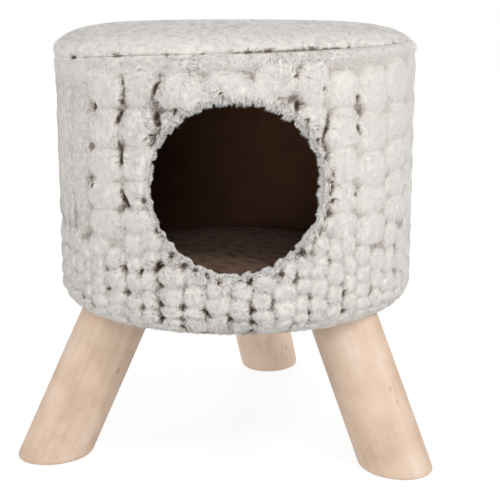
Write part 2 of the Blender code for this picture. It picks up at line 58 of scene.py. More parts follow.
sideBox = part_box("side_cover")
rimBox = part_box("entrance_rim")
drumMiddle, rimMiddle = middleOf(sideBox), middleOf(rimBox)
drum = {
    "x": drumMiddle.x,
    "y": drumMiddle.y,
    "radius": (sideBox[1].x - sideBox[0].x) / 2,
    "low": sideBox[0].z,
    "top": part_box("top_cover")[1].z,
    "seatRise": 0.0246,
    "seatFlatness": 6.2,
    "seatSoftness": 1.5,
    "seatFlatRadius": 0.055,
    "lowerRound": 0.0229,
    "hemInside": 0.1353,
    "hemEdge": 0.1550,
    "hemBend": (0.0012, 0.0004),  # inside and outside of its edge
    "hemRise": 0.0011,
    "lineStep": 0.0005,
    "seamHeight": 0.3970,
    "seamSlant": 0.0085,  # the seam rises to the right
    "seamSag": 0.0028,
}
entrance = {
    "height": rimMiddle.z,
    "turn": math.atan2(rimMiddle.x - drum["x"], drum["y"] - rimMiddle.y),
    "hole": (rimBox[1].z - rimBox[0].z) / 2,
    "clear": 0.0754,
    "edge": 0.0810,  # inside this the sleeve's pile turns in over the rim
    "near": 0.01,  # a layer's corners this close to its hole are drawn onto the hole's edge
}
# The legs: round bars of pale wood through the tee nut's place and the middle of the sole.
legs = {
    "ends": ("rear", "front_left", "front_right"),
    "radius": 0.0331,
    "steps": 96,
    "length": 0.4,  # before they are cut level
    "soleRound": 0.0045,
    "rearPaintedLight": 24,  # painted light: how much paler the rear leg's wood is painted against the drum's shadow, of 255
}
soles = {mount["name"]: mount["pos_m"] for mount in frame["record"]["mounts"]}


def legLine(end):
    # The middle of a leg's head and of its sole.
    nut = middleOf(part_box(f"tee_nut_{end}"))
    return Vector((nut.x, nut.y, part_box(f"leg_{end}")[1].z)), Vector(soles[f"sole_{end}"])


def inLegs(points, room):
    # Which points lie this far inside a leg.
    inside = np.zeros(len(points), bool)
    for end in legs["ends"]:
        head, foot = legLine(end)
        lean = np.array((head - foot).normalized())
        reach = points - np.array(foot)
        away = np.linalg.norm(reach - (reach @ lean)[:, None] * lean, axis=1)
        inside |= (away < legs["radius"] - room) & (points[:, 2] < head.z - room)
    return inside


def addBar(mesh, end, middle, radius, depth, steps):
    # A round bar along a leg's line. Returns how it is placed.
    head, foot = legLine(end)
    turn = (head - foot).normalized().to_track_quat("Z", "Y").to_matrix().to_4x4()
    place = Matrix.Translation(middle) @ turn
    bmesh.ops.create_cone(
        mesh, cap_ends=True, segments=steps, radius1=radius, radius2=radius, depth=depth, matrix=place
    )
    return place


# Shader maths: a socket that can be added to and multiplied, and a material that it belongs to.
class Signal:
    def __init__(self, paint, socket):
        self.paint = paint
        self.socket = socket

    def work(self, operation, *others):
        return self.paint.node("ShaderNodeMath", {"operation": operation}, [self, *others])

    def __add__(self, other):
        return self.work("ADD", other)

    def __sub__(self, other):
        return self.work("SUBTRACT", other)

    def __rsub__(self, other):
        return self.paint.node("ShaderNodeMath", {"operation": "SUBTRACT"}, [other, self])

    def __mul__(self, other):
        return self.work("MULTIPLY", other)

    __radd__ = __add__
    __rmul__ = __mul__


class Paint:
    def __init__(self, name, **values):
        self.material = bpy.data.materials.new(name)
        self.material.use_nodes = True
        self.tree = self.material.node_tree
        self.shader = self.tree.nodes["Principled BSDF"]
        for socket, value in values.items():
            self.shader.inputs[socket.replace("_", " ")].default_value = value

    def node(self, kind, settings=None, values=(), output=0):
        added = self.tree.nodes.new(kind)
        for name, setting in (settings or {}).items():
            if name == "stops":
                self.setStops(added.color_ramp, setting)
            else:
                setattr(added, name, setting)
        pairs = values.items() if isinstance(values, dict) else enumerate(values)
        for key, value in pairs:
            if isinstance(value, Signal):
                self.tree.links.new(value.socket, added.inputs[key])
            else:
                added.inputs[key].default_value = value
        return Signal(self, added.outputs[output])

    def setStops(self, ramp, stops):
        while len(ramp.elements) < len(stops):
            ramp.elements.new(0.5)
        for element, (place, tone) in zip(ramp.elements, stops):
            element.position = place
            element.color = colour(*tone)

    def feed(self, **signals):
        for socket, signal in signals.items():
            self.tree.links.new(signal.socket, self.shader.inputs[socket.replace("_", " ")])

    def ramp(self, share, *stops):
        return self.node("ShaderNodeValToRGB", {"stops": stops}, {"Fac": share})

    def spread(self, value, *limits):
        # The value's range, then the range that it becomes.
        return self.node("ShaderNodeMapRange", {}, [value, *limits])

    def mix(self, share, first, second):
        return self.node("ShaderNodeMix", {"data_type": "RGBA"}, {0: share, 6: first, 7: second}, 2)

    def stretched(self, where, scale):
        return self.node("ShaderNodeVectorMath", {"operation": "MULTIPLY"}, [where, scale])

    def place(self):
        return self.node("ShaderNodeTexCoord", output=3)

    def attribute(self, name, output):
        return self.node("ShaderNodeAttribute", {"attribute_name": name}, (), output)

    def noise(self, where, scale, detail=2.0, roughness=0.5):
        values = {"Vector": where, "Scale": scale, "Detail": detail, "Roughness": roughness}
        return self.node("ShaderNodeTexNoise", {}, values)

    def cells(self, where, scale, output=0):
        return self.node("ShaderNodeTexVoronoi", {}, {"Vector": where, "Scale": scale}, output)

    def bump(self, height, distance, strength=1.0):
        values = {"Height": height, "Distance": distance, "Strength": strength}
        self.feed(Normal=self.node("ShaderNodeBump", {}, values))


def colour(red, green, blue):
    # From the usual 0 to 255 to linear values, opaque.
    channels = [value / 255 for value in (red, green, blue)]
    return (*(c / 12.92 if c < 0.04045 else ((c + 0.055) / 1.055) ** 2.4 for c in channels), 1.0)


def show(name, data):
    holder = bpy.data.objects.new(name, data)
    bpy.context.scene.collection.objects.link(holder)
    return holder


def toPiece(name, mesh, smooth=True):
    data = bpy.data.meshes.new(name)
    mesh.to_mesh(data)
    mesh.free()
    if smooth:
        data.shade_smooth()
    return show(name, data)


def settle(piece, paint, replaced=(), body="stool"):
    piece.data.materials.clear()
    piece.data.materials.append(paint.material)
    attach(piece, body)
    if replaced:
        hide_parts(*replaced)
    return piece


def store(piece, name, values):
    # One value, or three, for each vertex.
    values = np.asarray(values, np.float32)
    kind, field = ("FLOAT", "value") if values.ndim == 1 else ("FLOAT_VECTOR", "vector")
    piece.data.attributes.new(name, kind, "POINT").data.foreach_set(field, values.reshape(-1))


def coordsOf(verts):
    return np.array([vert.co for vert in verts])


def closeMesh(mesh, weld=0.00002):
    bmesh.ops.remove_doubles(mesh, verts=mesh.verts, dist=weld)
    bmesh.ops.recalc_face_normals(mesh, faces=mesh.faces)


def dropFaces(mesh, marked):
    # Deletes the faces whose vertices pass the test.
    chosen = [face for face in mesh.faces if marked([vert.index for vert in face.verts])]
    bmesh.ops.delete(mesh, geom=chosen, context="FACES")
    mesh.verts.index_update()


def eased(share):
    return share * share * (3 - 2 * share)


def smoothStep(low, high, value):
    return eased(np.clip((value - low) / (high - low), 0, 1))


def within(value, outer, inner):
    # 1 between the inner limits, 0 beyond the outer ones.
    return smoothStep(outer[0], inner[0], value) * smoothStep(outer[1], inner[1], value)


def bell(value, width):
    return np.exp(-((value / width) ** 2))


def unit(vectors):
    return vectors / np.maximum(np.linalg.norm(vectors, axis=1, keepdims=True), 1e-9)


def amid(shareX, shareY, lowLeft, lowRight, highLeft, highRight):
    lower = lowLeft * (1 - shareX) + lowRight * shareX
    upper = highLeft * (1 - shareX) + highRight * shareX
    return lower * (1 - shareY) + upper * shareY


# The outline of the plush from the hem's edge under the drum, up the wall to the seat's middle.
def outerLine():
    low, radius, size = drum["low"], drum["radius"], drum["lowerRound"]
    start, edge, bend = drum["top"] - drum["seatRise"], drum["hemEdge"], drum["hemBend"]
    points = [(drum["hemInside"], low + drum["hemRise"])]
    points += [(edge - bend[0], low + drum["hemRise"]), (edge + bend[1], low)]
    for turn in np.radians(np.linspace(-90, 0, 40)):
        points.append((radius - size + size * math.cos(turn), low + size + size * math.sin(turn)))
    for turn in np.radians(np.linspace(0, 90, 80)):
        out = radius * math.cos(turn) ** (2 / drum["seatFlatness"])
        if out > drum["seatFlatRadius"]:
            points.append((out, start + drum["seatRise"] * math.sin(turn) ** (2 / drum["seatSoftness"])))
    points += [(drum["seatFlatRadius"], drum["top"]), (0.0, drum["top"])]
    rough = np.array(points)
    rough = rough[np.r_[True, np.linalg.norm(np.diff(rough, axis=0), axis=1) > 1e-6]]
    run = np.r_[0, np.cumsum(np.linalg.norm(np.diff(rough, axis=0), axis=1))]
    along = np.arange(0, run[-1], drum["lineStep"])
    out, up = np.interp(along, run, rough[:, 0]), np.interp(along, run, rough[:, 1])
    slope = np.gradient(np.stack([out, up], 1), along, axis=0)
    spread = np.ones(9) / 9
    facing = [np.convolve(np.pad(slope[:, i], 4, "edge"), spread, "valid") for i in (1, 0)]
    size = np.hypot(*facing)
    return {"along": along, "out": out, "up": up, "faceOut": facing[0] / size, "faceUp": -facing[1] / size}


line = outerLine()
wallFoot = np.interp(drum["low"] + drum["lowerRound"], line["up"], line["along"])
seatEdge = line["along"][np.argmax(line["up"] > drum["top"] - 0.0004)]
lineEnd = line["along"][-1]


def lineAt(along, *names):
    return [np.interp(along, line["along"], line[name]) for name in names]


def alongAt(height):
    # The run along the outline at a height on the wall or the seat's edge.
    rising = line["along"] < seatEdge
    return np.interp(height, line["up"][rising], line["along"][rising])


def toAlong(height):
    return height + wallFoot - (drum["low"] + drum["lowerRound"])


def seamAlong(angle):
    aside = np.sin(angle)
    return alongAt(drum["seamHeight"] + drum["seamSlant"] * aside - drum["seamSag"] * aside**2)


def onCover(angle, along, depth):
    # Points this deep under the plush's outline, and the way out of the surface there.
    out, up, faceOut, faceUp = lineAt(along, "out", "up", "faceOut", "faceUp")
    reach = out - depth * faceOut
    places = [drum["x"] + reach * np.sin(angle), drum["y"] - reach * np.cos(angle), up - depth * faceUp]
    facing = [faceOut * np.sin(angle), -faceOut * np.cos(angle), faceUp]
    return np.stack(places, 1), np.stack(facing, 1)


def fromEntrance(angle, along):
    # Sideways and upwards from the entrance's axis, as seen along it.
    out, up = lineAt(along, "out", "up")
    sideways = out * np.sin(angle - entrance["turn"])
    behind = np.cos(angle - entrance["turn"]) < 0
    return np.where(behind, 1.0, sideways), up - entrance["height"]


def rimDistance(angle, along):
    return np.hypot(*fromEntrance(angle, along))


# Maps of the sleeve: a value for every millimetre round the drum and up its outline.
mapSize = {"across": 1130, "up": int((seatEdge + 0.01) / 0.001), "step": 0.001}


def softNoise(random, cellsAcross, cellsUp):
    lattice = random.uniform(-1, 1, (cellsUp + 2, cellsAcross))
    x = np.arange(mapSize["across"]) / mapSize["across"] * cellsAcross
    y = np.arange(mapSize["up"]) / mapSize["up"] * cellsUp
    column, row = x.astype(int), y.astype(int)
    beside = (column + 1) % cellsAcross
    lower, upper = lattice[row], lattice[row + 1]
    shares = eased(x - column), eased((y - row)[:, None])
    return amid(*shares, lower[:, column], lower[:, beside], upper[:, column], upper[:, beside])


def readMap(values, angle, along):
    x = (angle / math.pi + 1) / 2 * mapSize["across"]
    y = np.clip(along / mapSize["step"], 0, mapSize["up"] - 1.001)
    column, row = np.floor(x).astype(int), y.astype(int)
    left, right = column % mapSize["across"], (column + 1) % mapSize["across"]
    corners = values[row, left], values[row, right], values[row + 1, left], values[row + 1, right]
    return amid(x - column, y - row, *corners)


def blurred(values, reach):
    # Spread by a bell curve, reach in millimetres, joined round the drum.
    steps = range(-3 * reach, 3 * reach + 1)
    weights = [math.exp(-0.5 * (step / reach) ** 2) for step in steps]
    across = sum(w * np.roll(values, step, 1) for w, step in zip(weights, steps)) / sum(weights)
    tall = np.pad(across, ((3 * reach, 3 * reach), (0, 0)), "edge")
    rows = len(values)
    return sum(w * tall[i : i + rows] for i, w in enumerate(weights)) / sum(weights)


# The bubbles of the plush: columns of large ones above, small ones in staggered pairs below.
bubbles = {
    "columnEdges": [-80, -74, -67, -60, -50, -34.5, -22.5, -8, 6, 18.5, 28.5, 39.5, 53.5, 68, 80],
    "rearColumns": 16,
    "ridgesBefore": -50,  # columns further left are long upright ridges
    "ridgeLap": 0.02,
    "top": 0.384,
    "rows": [0.037, 0.034, 0.029, 0.027, 0.024],
    "smallBelow": 0.245,
    "smallRows": [0.0215, 0.0195, 0.0175, 0.0155, 0.0145, 0.0135],
    "pairsFrom": 8,  # degrees: wider columns have two small bubbles side by side
    "stagger": 0.006,
    # Noise that moves them: cells round the drum, cells up it and size, in degrees and up the outline.
    "wander": ((60, 17, 1.1), (150, 40, 0.35)),
    "drift": ((60, 17, 0.0026), (150, 40, 0.0007)),
    "overlap": 1.07,
    "squareness": 2.6,
    "flatness": 2.4,
    "fullness": 0.55,
    "height": 0.0052,
    "lowest": 0.020,  # how far under the wall's foot the last ones start
}
pits = {
    # Strong splits between bubbles: degrees, upper and lower end.
    "splits": [
        (-33.6, 0.374, 0.361),
        (-34.6, 0.362, 0.350),
        (-35.2, 0.342, 0.331),
        (-35.6, 0.318, 0.306),
        (-34.6, 0.306, 0.296),
        (-34.4, 0.272, 0.258),
        (-22.3, 0.371, 0.355),
        (-22.0, 0.344, 0.329),
        (-46.5, 0.349, 0.340),
        (-47.5, 0.276, 0.270),
        (17.5, 0.379, 0.374),
        (26.5, 0.367, 0.363),
        (27.5, 0.340, 0.318),
        (38.6, 0.356, 0.350),
        (39.2, 0.328, 0.321),
        (38.6, 0.268, 0.264),
    ],
    # Round the entrance's rim: degrees from its top, clockwise.
    "atRim": [-58, -40, -12, 135, 152, 171, 192, 208, 226, 241, 262, 300],
    "rimReach": 0.0856,
    "rimFlecks": (24, 128, 34),  # from, to and how many small ones
    "width": 0.0018,
    "arms": 0.0060,
}
# Maps of noise: cells round the drum and cells up its outline.
noises = {
    "ragged": (520, 150),
    "seam": (170, 8),
    "seamFine": (420, 40),
    "flow": (90, 26),
    "fine": (260, 80),
    "fleck": (110, 30),
    "starReach": 4,  # how far a pit is felt round it, in millimetres
}


def around(angle):
    return (angle + 180) % 360 - 180


def makeCells(random):
    # Each bubble: left and right edge in degrees, lower and upper end along the outline, and its strength.
    edges = list(bubbles["columnEdges"])
    rear = np.linspace(edges[-1], edges[0] + 360, bubbles["rearColumns"] + 1)
    columns = list(zip(edges, edges[1:])) + list(zip(rear, rear[1:]))
    cells = []
    for left, right in columns:
        upper = bubbles["top"] + random.uniform(-1, 1) * bubbles["stagger"]
        ridge = left < bubbles["ridgesBefore"]
        if ridge:
            low = toAlong(bubbles["smallBelow"]) - bubbles["ridgeLap"]
            cells.append((left, right, low, toAlong(upper), 0.9))
            upper = bubbles["smallBelow"] - bubbles["ridgeLap"] * 0.9
        for row in [] if ridge else bubbles["rows"]:
            lower = upper - row * random.uniform(0.88, 1.1)
            cells.append((left, right, toAlong(lower), toAlong(upper), 1.0))
            upper = lower
            if lower < bubbles["smallBelow"]:
                break
        halves = 2 if right - left > bubbles["pairsFrom"] else 1
        for half in range(halves):
            start = left + (right - left) * half / halves
            end = left + (right - left) * (half + 1) / halves
            high = toAlong(upper) + random.uniform(-0.4, 0.4) * bubbles["smallRows"][0] * half
            for row in bubbles["smallRows"]:
                low = high - row * random.uniform(0.85, 1.15)
                if high > wallFoot - bubbles["lowest"]:
                    cells.append((start, end, low, high, 0.92))
                high = low
    return cells


def rimPits(random):
    # Pits round the rim, as angle in degrees, run, half length and strength.
    start, end, count = pits["rimFlecks"]
    small = np.linspace(start, end, count) + random.uniform(-1.5, 1.5, count)
    atRim = [(turn, random.uniform(0.0020, 0.0036), 1.0) for turn in pits["atRim"]]
    atRim += [(turn, random.uniform(0.0010, 0.0022), random.uniform(0.3, 0.9)) for turn in small]
    places = []
    for turn, size, strength in atRim:
        turn = math.radians(turn)
        reach = pits["rimReach"] + random.uniform(-0.0015, 0.0025)
        aside = math.degrees(entrance["turn"] + math.asin(reach * math.sin(turn) / drum["radius"]))
        places.append((aside, toAlong(entrance["height"] + reach * math.cos(turn)), size, strength))
    return places


def makeMaps(random):
    # How far each place is puffed up, and how deep it lies in a pit.
    cells = makeCells(random)
    turns = np.arange(mapSize["across"]) / mapSize["across"] * 2 - 1
    angle, along = np.meshgrid(np.degrees(turns * math.pi), np.arange(mapSize["up"]) * mapSize["step"])
    for *cellCounts, size in bubbles["wander"]:
        angle = angle + softNoise(random, *cellCounts) * size
    for *cellCounts, size in bubbles["drift"]:
        along = along + softNoise(random, *cellCounts) * size
    puff, pit, arms = (np.zeros_like(angle) for _ in range(3))
    places = [(a, toAlong((low + high) / 2), (high - low) / 2, 0.9) for a, high, low in pits["splits"]]
    splits = len(places)
    places += rimPits(random)
    power = bubbles["squareness"]
    for left, right, low, high, strength in cells:
        middle = around((left + right) / 2)
        beside = np.abs(around(angle - middle)) / ((right - left) / 2) / bubbles["overlap"]
        above = np.abs(along - (low + high) / 2) / ((high - low) / 2) / bubbles["overlap"]
        reach = (beside**power + above**power) ** (1 / power)
        dome = np.clip(1 - reach ** bubbles["flatness"], 0, 1) ** bubbles["fullness"]
        puff = np.maximum(puff, strength * dome)
        front = math.exp(-(((middle + 2) / 42) ** 2))
        small = high < toAlong(bubbles["smallBelow"])
        if random.uniform() < (0.10 + 0.60 * front if small else 0.12 + 0.20 * front):
            size = random.uniform(0.0014, 0.0044) if small else random.uniform(0.0012, 0.0026)
            at = low + random.uniform(-0.1, 0.2) * (high - low)
            places.append((left, at, size, random.uniform(0.5, 1.0) * (0.35 + 0.65 * front)))
    perDegree = math.radians(1) * drum["radius"]
    for i, (at, middle, half, strength) in enumerate(places):
        lean = random.uniform(-0.4, 0.4)
        above = (along - middle) / half
        width = pits["width"] * random.uniform(0.85, 1.4) * min(1.0, 0.5 + half / 0.004)
        aside = around(angle - at) * perDegree
        beside = (aside + lean * (along - middle)) / width
        pit = np.maximum(pit, strength * np.exp(-(beside**2) - np.abs(above) ** 3))
        near = np.maximum(np.abs(along - middle) - half, 0) ** 2 + aside**2
        arms = np.maximum(arms, strength * (0.4 if i < splits else 1.0) * np.exp(-near / pits["arms"] ** 2))
    pit = np.maximum(pit, 0.5 * arms * (1 - puff) ** 1.8)
    return puff, np.clip(pit * (1.15 + 0.85 * softNoise(random, *noises["ragged"])), 0, 1)


random = np.random.default_rng(7)
puffMap, pitMap = makeMaps(random)
seamMap, seamFine = (softNoise(random, *noises[name]) for name in ("seam", "seamFine"))
flowMaps, fineMaps = ([softNoise(random, *noises[name]) for _ in range(2)] for name in ("flow", "fine"))
fleckMap = softNoise(random, *noises["fleck"])
starMap = blurred(pitMap, noises["starReach"])
slopes = [np.gradient(values, mapSize["step"]) for values in (pitMap, starMap, puffMap)]
print("bubbles laid out")


# The entrance's rolled rim and the tufts at its edge.
rim = {
    "steps": 120,
    "sectionSteps": 10,
    "tufts": 34,
    "roll": 0.0050,
    "dropped": 0.0024,  # the opening sits this much low in the hole
    "shortAt": 228,  # degrees clockwise from the top, where the pile leaves the opening widest
    "scallop": 0.0010,
    "clumps": 84,
    "inside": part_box("wall_lining")[1].x - drum["x"] - 0.004,
    "proud": -0.0050,
    "gap": 0.0003,
    "density": 1250000,
    "arc": 0.012,  # the pile is counted over half a circle of this size
    "length": 0.0062,
    "bends": (-50, 72),  # degrees: where the section carries pile
    "shade": 0.12,
}
# The plush's backing: the sleeve from the hem to the seam, and the seat.
skin = {
    "depth": 0.0014,  # under the plush's outline, on top of a bubble
    "lowerDepth": 0.0010,
    "rimDepth": 0.0019,
    "seatDepth": 0.0014,
    "seamDepth": 0.0030,
    "seamSpread": 0.0022,
    "seamGap": 0.0002,
    "pitDepth": 0.0018,
    "sideGrid": (500, 132),
    "seatGrid": (300, 90),
    "hole": 0.0803,
    "edgeDepth": 0.0012,
    "rearDepth": 0.0022,
    "rearSpread": 0.0016,
    "inLegs": 0.0012,
    "hemFade": (0.028, 0.014),  # below the wall's foot, where the hem under the drum gives way to it
}


def shortness(clockwise):
    return (0.5 + 0.5 * np.cos(clockwise - math.radians(rim["shortAt"]))) ** 2


def softSides(angle):
    # The bubbles show most at the front, less at the left and the right.
    turn = np.degrees(angle)
    left = 0.1 * smoothStep(-38, -62, turn) * (turn > -120)
    edge = 0.35 * within(np.abs(turn), (60, 125), (76, 105)) * np.where(turn < 0, 0.2, 1.0)
    return 1 - left - 0.2 * smoothStep(25, 45, turn) * (turn < 120) - edge


def plainBand(angle, along):
    # 1 on the plain band under the seat's seam, which reaches furthest down at the left.
    turn = np.degrees(angle)
    depth = 0.020 + 0.018 * within(turn, (-34, -110), (-52, -90))
    return smoothStep(depth, 0.010, seamAlong(angle) - along)


def puffAt(angle, along):
    return np.maximum(readMap(puffMap, angle, along), plainBand(angle, along))


def onWallAt(along):
    # 1 on the wall, 0 on the hem under the drum.
    low, high = skin["hemFade"]
    return smoothStep(wallFoot - low, wallFoot - high, along)


def rearSeam(angle):
    # 1 on the sleeve's upright seam at the rear.
    return bell((math.pi - np.abs(angle)) * drum["radius"], skin["rearSpread"])


def skinDepth(angle, along):
    # How deep the cloth lies under the outline: bubbles, pits, the pressed hem and the seam's groove.
    onWall, seam = onWallAt(along), seamAlong(angle)
    relief = bubbles["height"] * (1 - puffAt(angle, along)) * softSides(angle)
    relief = relief + skin["pitDepth"] * readMap(pitMap, angle, along)
    depth = skin["lowerDepth"] + (skin["depth"] - skin["lowerDepth"]) * onWall + relief * onWall
    onSeat = smoothStep(seam - 0.001, seam + 0.004, along)
    depth = depth * (1 - onSeat) + skin["seatDepth"] * onSeat
    nearRim = 0.75 * (1 - smoothStep(skin["hole"], 0.0900, rimDistance(angle, along)))
    depth = depth * (1 - nearRim) + skin["rimDepth"] * nearRim
    depth = depth + skin["rearDepth"] * rearSeam(angle) * (1 - onSeat)
    groove = skin["seamDepth"] * (1 - 0.75 * np.sin(angle) ** 4)
    return depth + groove * bell(along - seam, skin["seamSpread"])


def seamDark(angle, along):
    # Where brown shows along the seat's seam: most at the front right, elsewhere broken.
    turn = np.degrees(angle)
    dark = 0.85 * smoothStep(-6, 0, turn) * (1 - 0.75 * smoothStep(30, 36, turn))
    dark = np.clip(dark + 0.9 * smoothStep(0.1, 0.5, readMap(seamMap, angle, along)), 0, 1)
    return dark * (0.75 + 0.5 * readMap(seamFine, angle, along))


def leftRidges(angle):
    # 1 where the bubbles give way to long upright ridges.
    return within(np.degrees(angle), (-44, -95), (-54, -80))


def plushBrownAndShade(angle, along):
    # 0 where the pile is pale, 1 where it is darkest: brown roots in the pits and along the seams, and
    # painted shade with brown roots in the bubbles' valleys.
    turn, seam = np.degrees(angle), seamAlong(angle)
    # Painted shade in the valleys between bubbles, most at the front, the lower right and between the left
    # ridges, none near the entrance or on the hem.
    valley = (1 - puffAt(angle, along)) ** 1.6
    away = smoothStep(0.0815, 0.0850, rimDistance(angle, along))
    right = within(turn, (14, 120), (30, 95)) * smoothStep(toAlong(0.262), toAlong(0.240), along)
    share = 0.28 + 0.12 * bell(turn + 2, 32) + 0.12 * right + 0.12 * leftRidges(angle)
    valley = share * valley * onWallAt(along) * away
    groove = 0.95 * seamDark(angle, along) * bell(along - seam - 0.0004, 0.0018)
    rear = rearSeam(angle) * (0.35 + 0.25 * readMap(seamMap, angle, along)) * (along < seam)
    return np.clip(valley + readMap(pitMap, angle, along) + groove + rear, 0, 1)


def wrapGrid(grid, start, end, toEntrance, radius, levelAt, hole):
    # A flat grid, and the angle and level at which its vertices wrap round the drum. The entrance's
    # hole is left out of it and has a smooth edge.
    mesh = bmesh.new()
    bmesh.ops.create_grid(mesh, x_segments=grid[0], y_segments=grid[1], size=1.0)

    def places():
        flat = coordsOf(mesh.verts)
        angle, share = flat[:, 0] * math.pi, (flat[:, 1] + 1) / 2
        return angle, start(angle) * (1 - share) + end(angle) * share

    if hole:
        distance = np.hypot(*toEntrance(*places()))
        dropFaces(mesh, lambda corners: np.mean(distance[corners]) < hole)
    angle, level = places()
    sideways, upwards = toEntrance(angle, level)
    distance = np.hypot(sideways, upwards)
    for i, vert in enumerate(mesh.verts):
        if hole and vert.is_boundary and distance[i] < hole + entrance["near"]:
            grow = hole / distance[i]
            angle[i] = entrance["turn"] + math.asin(sideways[i] * grow / radius)
            level[i] = levelAt(entrance["height"] + upwards[i] * grow)
    return mesh, angle, level


def makeSkin(grid, start, end, hole=None):
    # A grid wrapped round the outline from start to end, joined at the rear.
    mesh, angle, along = wrapGrid(grid, start, end, fromEntrance, drum["radius"], alongAt, hole)
    curl = skin["edgeDepth"] * (1 - smoothStep(skin["hole"], skin["hole"] + 0.002, rimDistance(angle, along)))
    places = onCover(angle, along, skinDepth(angle, along) + curl)[0]
    for vert, place in zip(mesh.verts, places):
        vert.co = place
    hidden = inLegs(places, skin["inLegs"])
    dropFaces(mesh, lambda corners: all(hidden[corners]))
    closeMesh(mesh)
    return mesh


def coverPlace(points):
    # Angle and run along the outline of points that lie on or near the cover.
    angle = np.arctan2(points[:, 0] - drum["x"], drum["y"] - points[:, 1])
    out = np.hypot(points[:, 0] - drum["x"], points[:, 1] - drum["y"])
    step, batch = 4, 20000
    rough = np.stack([line["out"], line["up"]], 1)[::step]
    flat = np.stack([out, points[:, 2]], 1)
    nearest = np.empty(len(points), int)
    for start in range(0, len(points), batch):
        part = flat[start : start + batch, None] - rough[None]
        nearest[start : start + batch] = (part**2).sum(2).argmin(1)
    return angle, line["along"][::step][nearest]


def makeSkinPaint():
    paint = Paint("plushBacking", Roughness=0.95, Specular_IOR_Level=0.1)
    dark = paint.attribute("dark", 2)
    mottled = paint.noise(paint.place(), 800.0, 3.0, 0.6)
    # dark browns the backing in pits and seams, and greys it with painted shade in the bubbles' valleys and
    # on the rim.
    share = dark + (mottled - 0.5) * (dark * 1.2 + 0.25) + 0.06
    tones = [(0.08, (220, 215, 209)), (0.32, (198, 192, 186)), (0.55, (146, 134, 125)), (0.85, (58, 46, 40))]
    paint.feed(Base_Color=paint.ramp(share, *tones))
    paint.bump(mottled, 0.0006, 0.5)
    return paint


def makeCover(name, node, grid, start, end, hole=None):
    piece = toPiece(name, makeSkin(grid, start, end, hole))
    store(piece, "dark", plushBrownAndShade(*coverPlace(coordsOf(piece.data.vertices))))
    return settle(piece, skinPaint, [node])


skinPaint = makeSkinPaint()
sideCover = makeCover(
    "sideCover",
    "side_cover",
    skin["sideGrid"],
    lambda angle: np.zeros_like(angle),
    lambda angle: seamAlong(angle) - skin["seamGap"],
    skin["hole"],
)
seatCover = makeCover(
    "seatCover",
    "top_cover",
    skin["seatGrid"],
    lambda angle: seamAlong(angle) + skin["seamGap"],
    lambda angle: np.full_like(angle, lineEnd),
)
print("cover made")


# The pile: closed slivers of four faces, rooted in the cloth and lying over it.
pile = {
    "density": 960000,  # strands to the square metre
    "edgeDensity": 1500000,
    "edgeReach": 0.0855,
    "edgeLevels": (0.15, 0.36),  # heights that the denser pile round the entrance keeps within
    "hemReach": 0.034,  # the pile reaches this far under the wall's foot
    "seatDensity": 700000,
    "length": 0.0052,
    "seatLength": 0.0036,
    "width": 0.00050,
    "lift": 0.0009,
    "clump": 0.0046,
    "seatClump": 0.003,
    "roundness": 0.45,
    "flatness": 0.3,  # how far the shading overlooks the bubbles
    "downwards": 0.25,
    "rootDepth": 0.0002,
    "sectors": 7,
}


def strandPattern():
    mesh = bmesh.new()
    bmesh.ops.create_cone(mesh, cap_ends=True, segments=3, radius1=1.0, radius2=0.0, depth=1.0)
    points = coordsOf(mesh.verts)
    faces = np.array([[vert.index for vert in face.verts] for face in mesh.faces])
    mesh.free()
    return points, faces


strandPoints, strandFaces = strandPattern()


def plant(name, strands, paint):
    # One piece of many strands; strands holds their roots, tips, widths, tones and facings.
    roots, tips = strands["root"], strands["tip"]
    count, corners = len(roots), len(strandPoints)
    share = strandPoints[:, 2] + 0.5
    spine = roots[:, None] + (tips - roots)[:, None] * share[None, :, None]
    lengthways = unit(tips - roots)
    aside = unit(np.cross(lengthways, strands["facing"]) + 1e-6)
    across = np.cross(lengthways, aside)
    ring = -strandPoints[None, :, :1] * aside[:, None] - strandPoints[None, :, 1:2] * across[:, None]
    places = spine + ring * strands["width"][:, None, None] / 2
    faces = (strandFaces[None] + (np.arange(count) * corners)[:, None, None]).reshape(-1, 3)
    data = bpy.data.meshes.new(name)
    data.vertices.add(count * corners)
    data.vertices.foreach_set("co", places.reshape(-1))
    data.loops.add(faces.size)
    data.loops.foreach_set("vertex_index", faces.reshape(-1))
    data.polygons.add(len(faces))
    data.polygons.foreach_set("loop_start", np.arange(0, faces.size, 3))
    data.update(calc_edges=True)
    # The strand's tone runs across its own small map, and root to tip up it.
    shade = data.uv_layers.new(name="OFBake")
    corner = np.arange(corners)[None] % 3
    tone = np.clip(strands["tone"][:, None] + (corner - 1) * 0.0015, 0.002, 0.998)
    run = np.broadcast_to(0.02 + 0.95 * share[None] + 0.01 * corner, tone.shape)
    both = np.stack([tone, run], 2).reshape(-1, 2)[faces.reshape(-1)]
    shade.uv.foreach_set("vector", both.astype(np.float32).reshape(-1))
    # The shading follows the cloth below and, where the pile is ruffled, the strand's own roundness.
    shown, ruffle = strands["shown"], strands["ruffle"][:, None]
    lying = unit(shown - lengthways * (lengthways * shown).sum(1, keepdims=True))
    facing = unit(shown * (1 - 0.5 * ruffle) + lying * 0.5 * ruffle)
    facing = unit((facing[:, None] + pile["roundness"] * ruffle[:, None] * ring).reshape(-1, 3))
    data.shade_smooth()
    data.normals_split_custom_set_from_vertices(facing)
    settle(show(name, data), paint)


def plantParts(name, strands, paint, parts):
    for i, chosen in enumerate(parts):
        plant(f"{name}{i + 1}", {key: values[chosen] for key, values in strands.items()}, paint)
    print(name, len(strands["root"]))


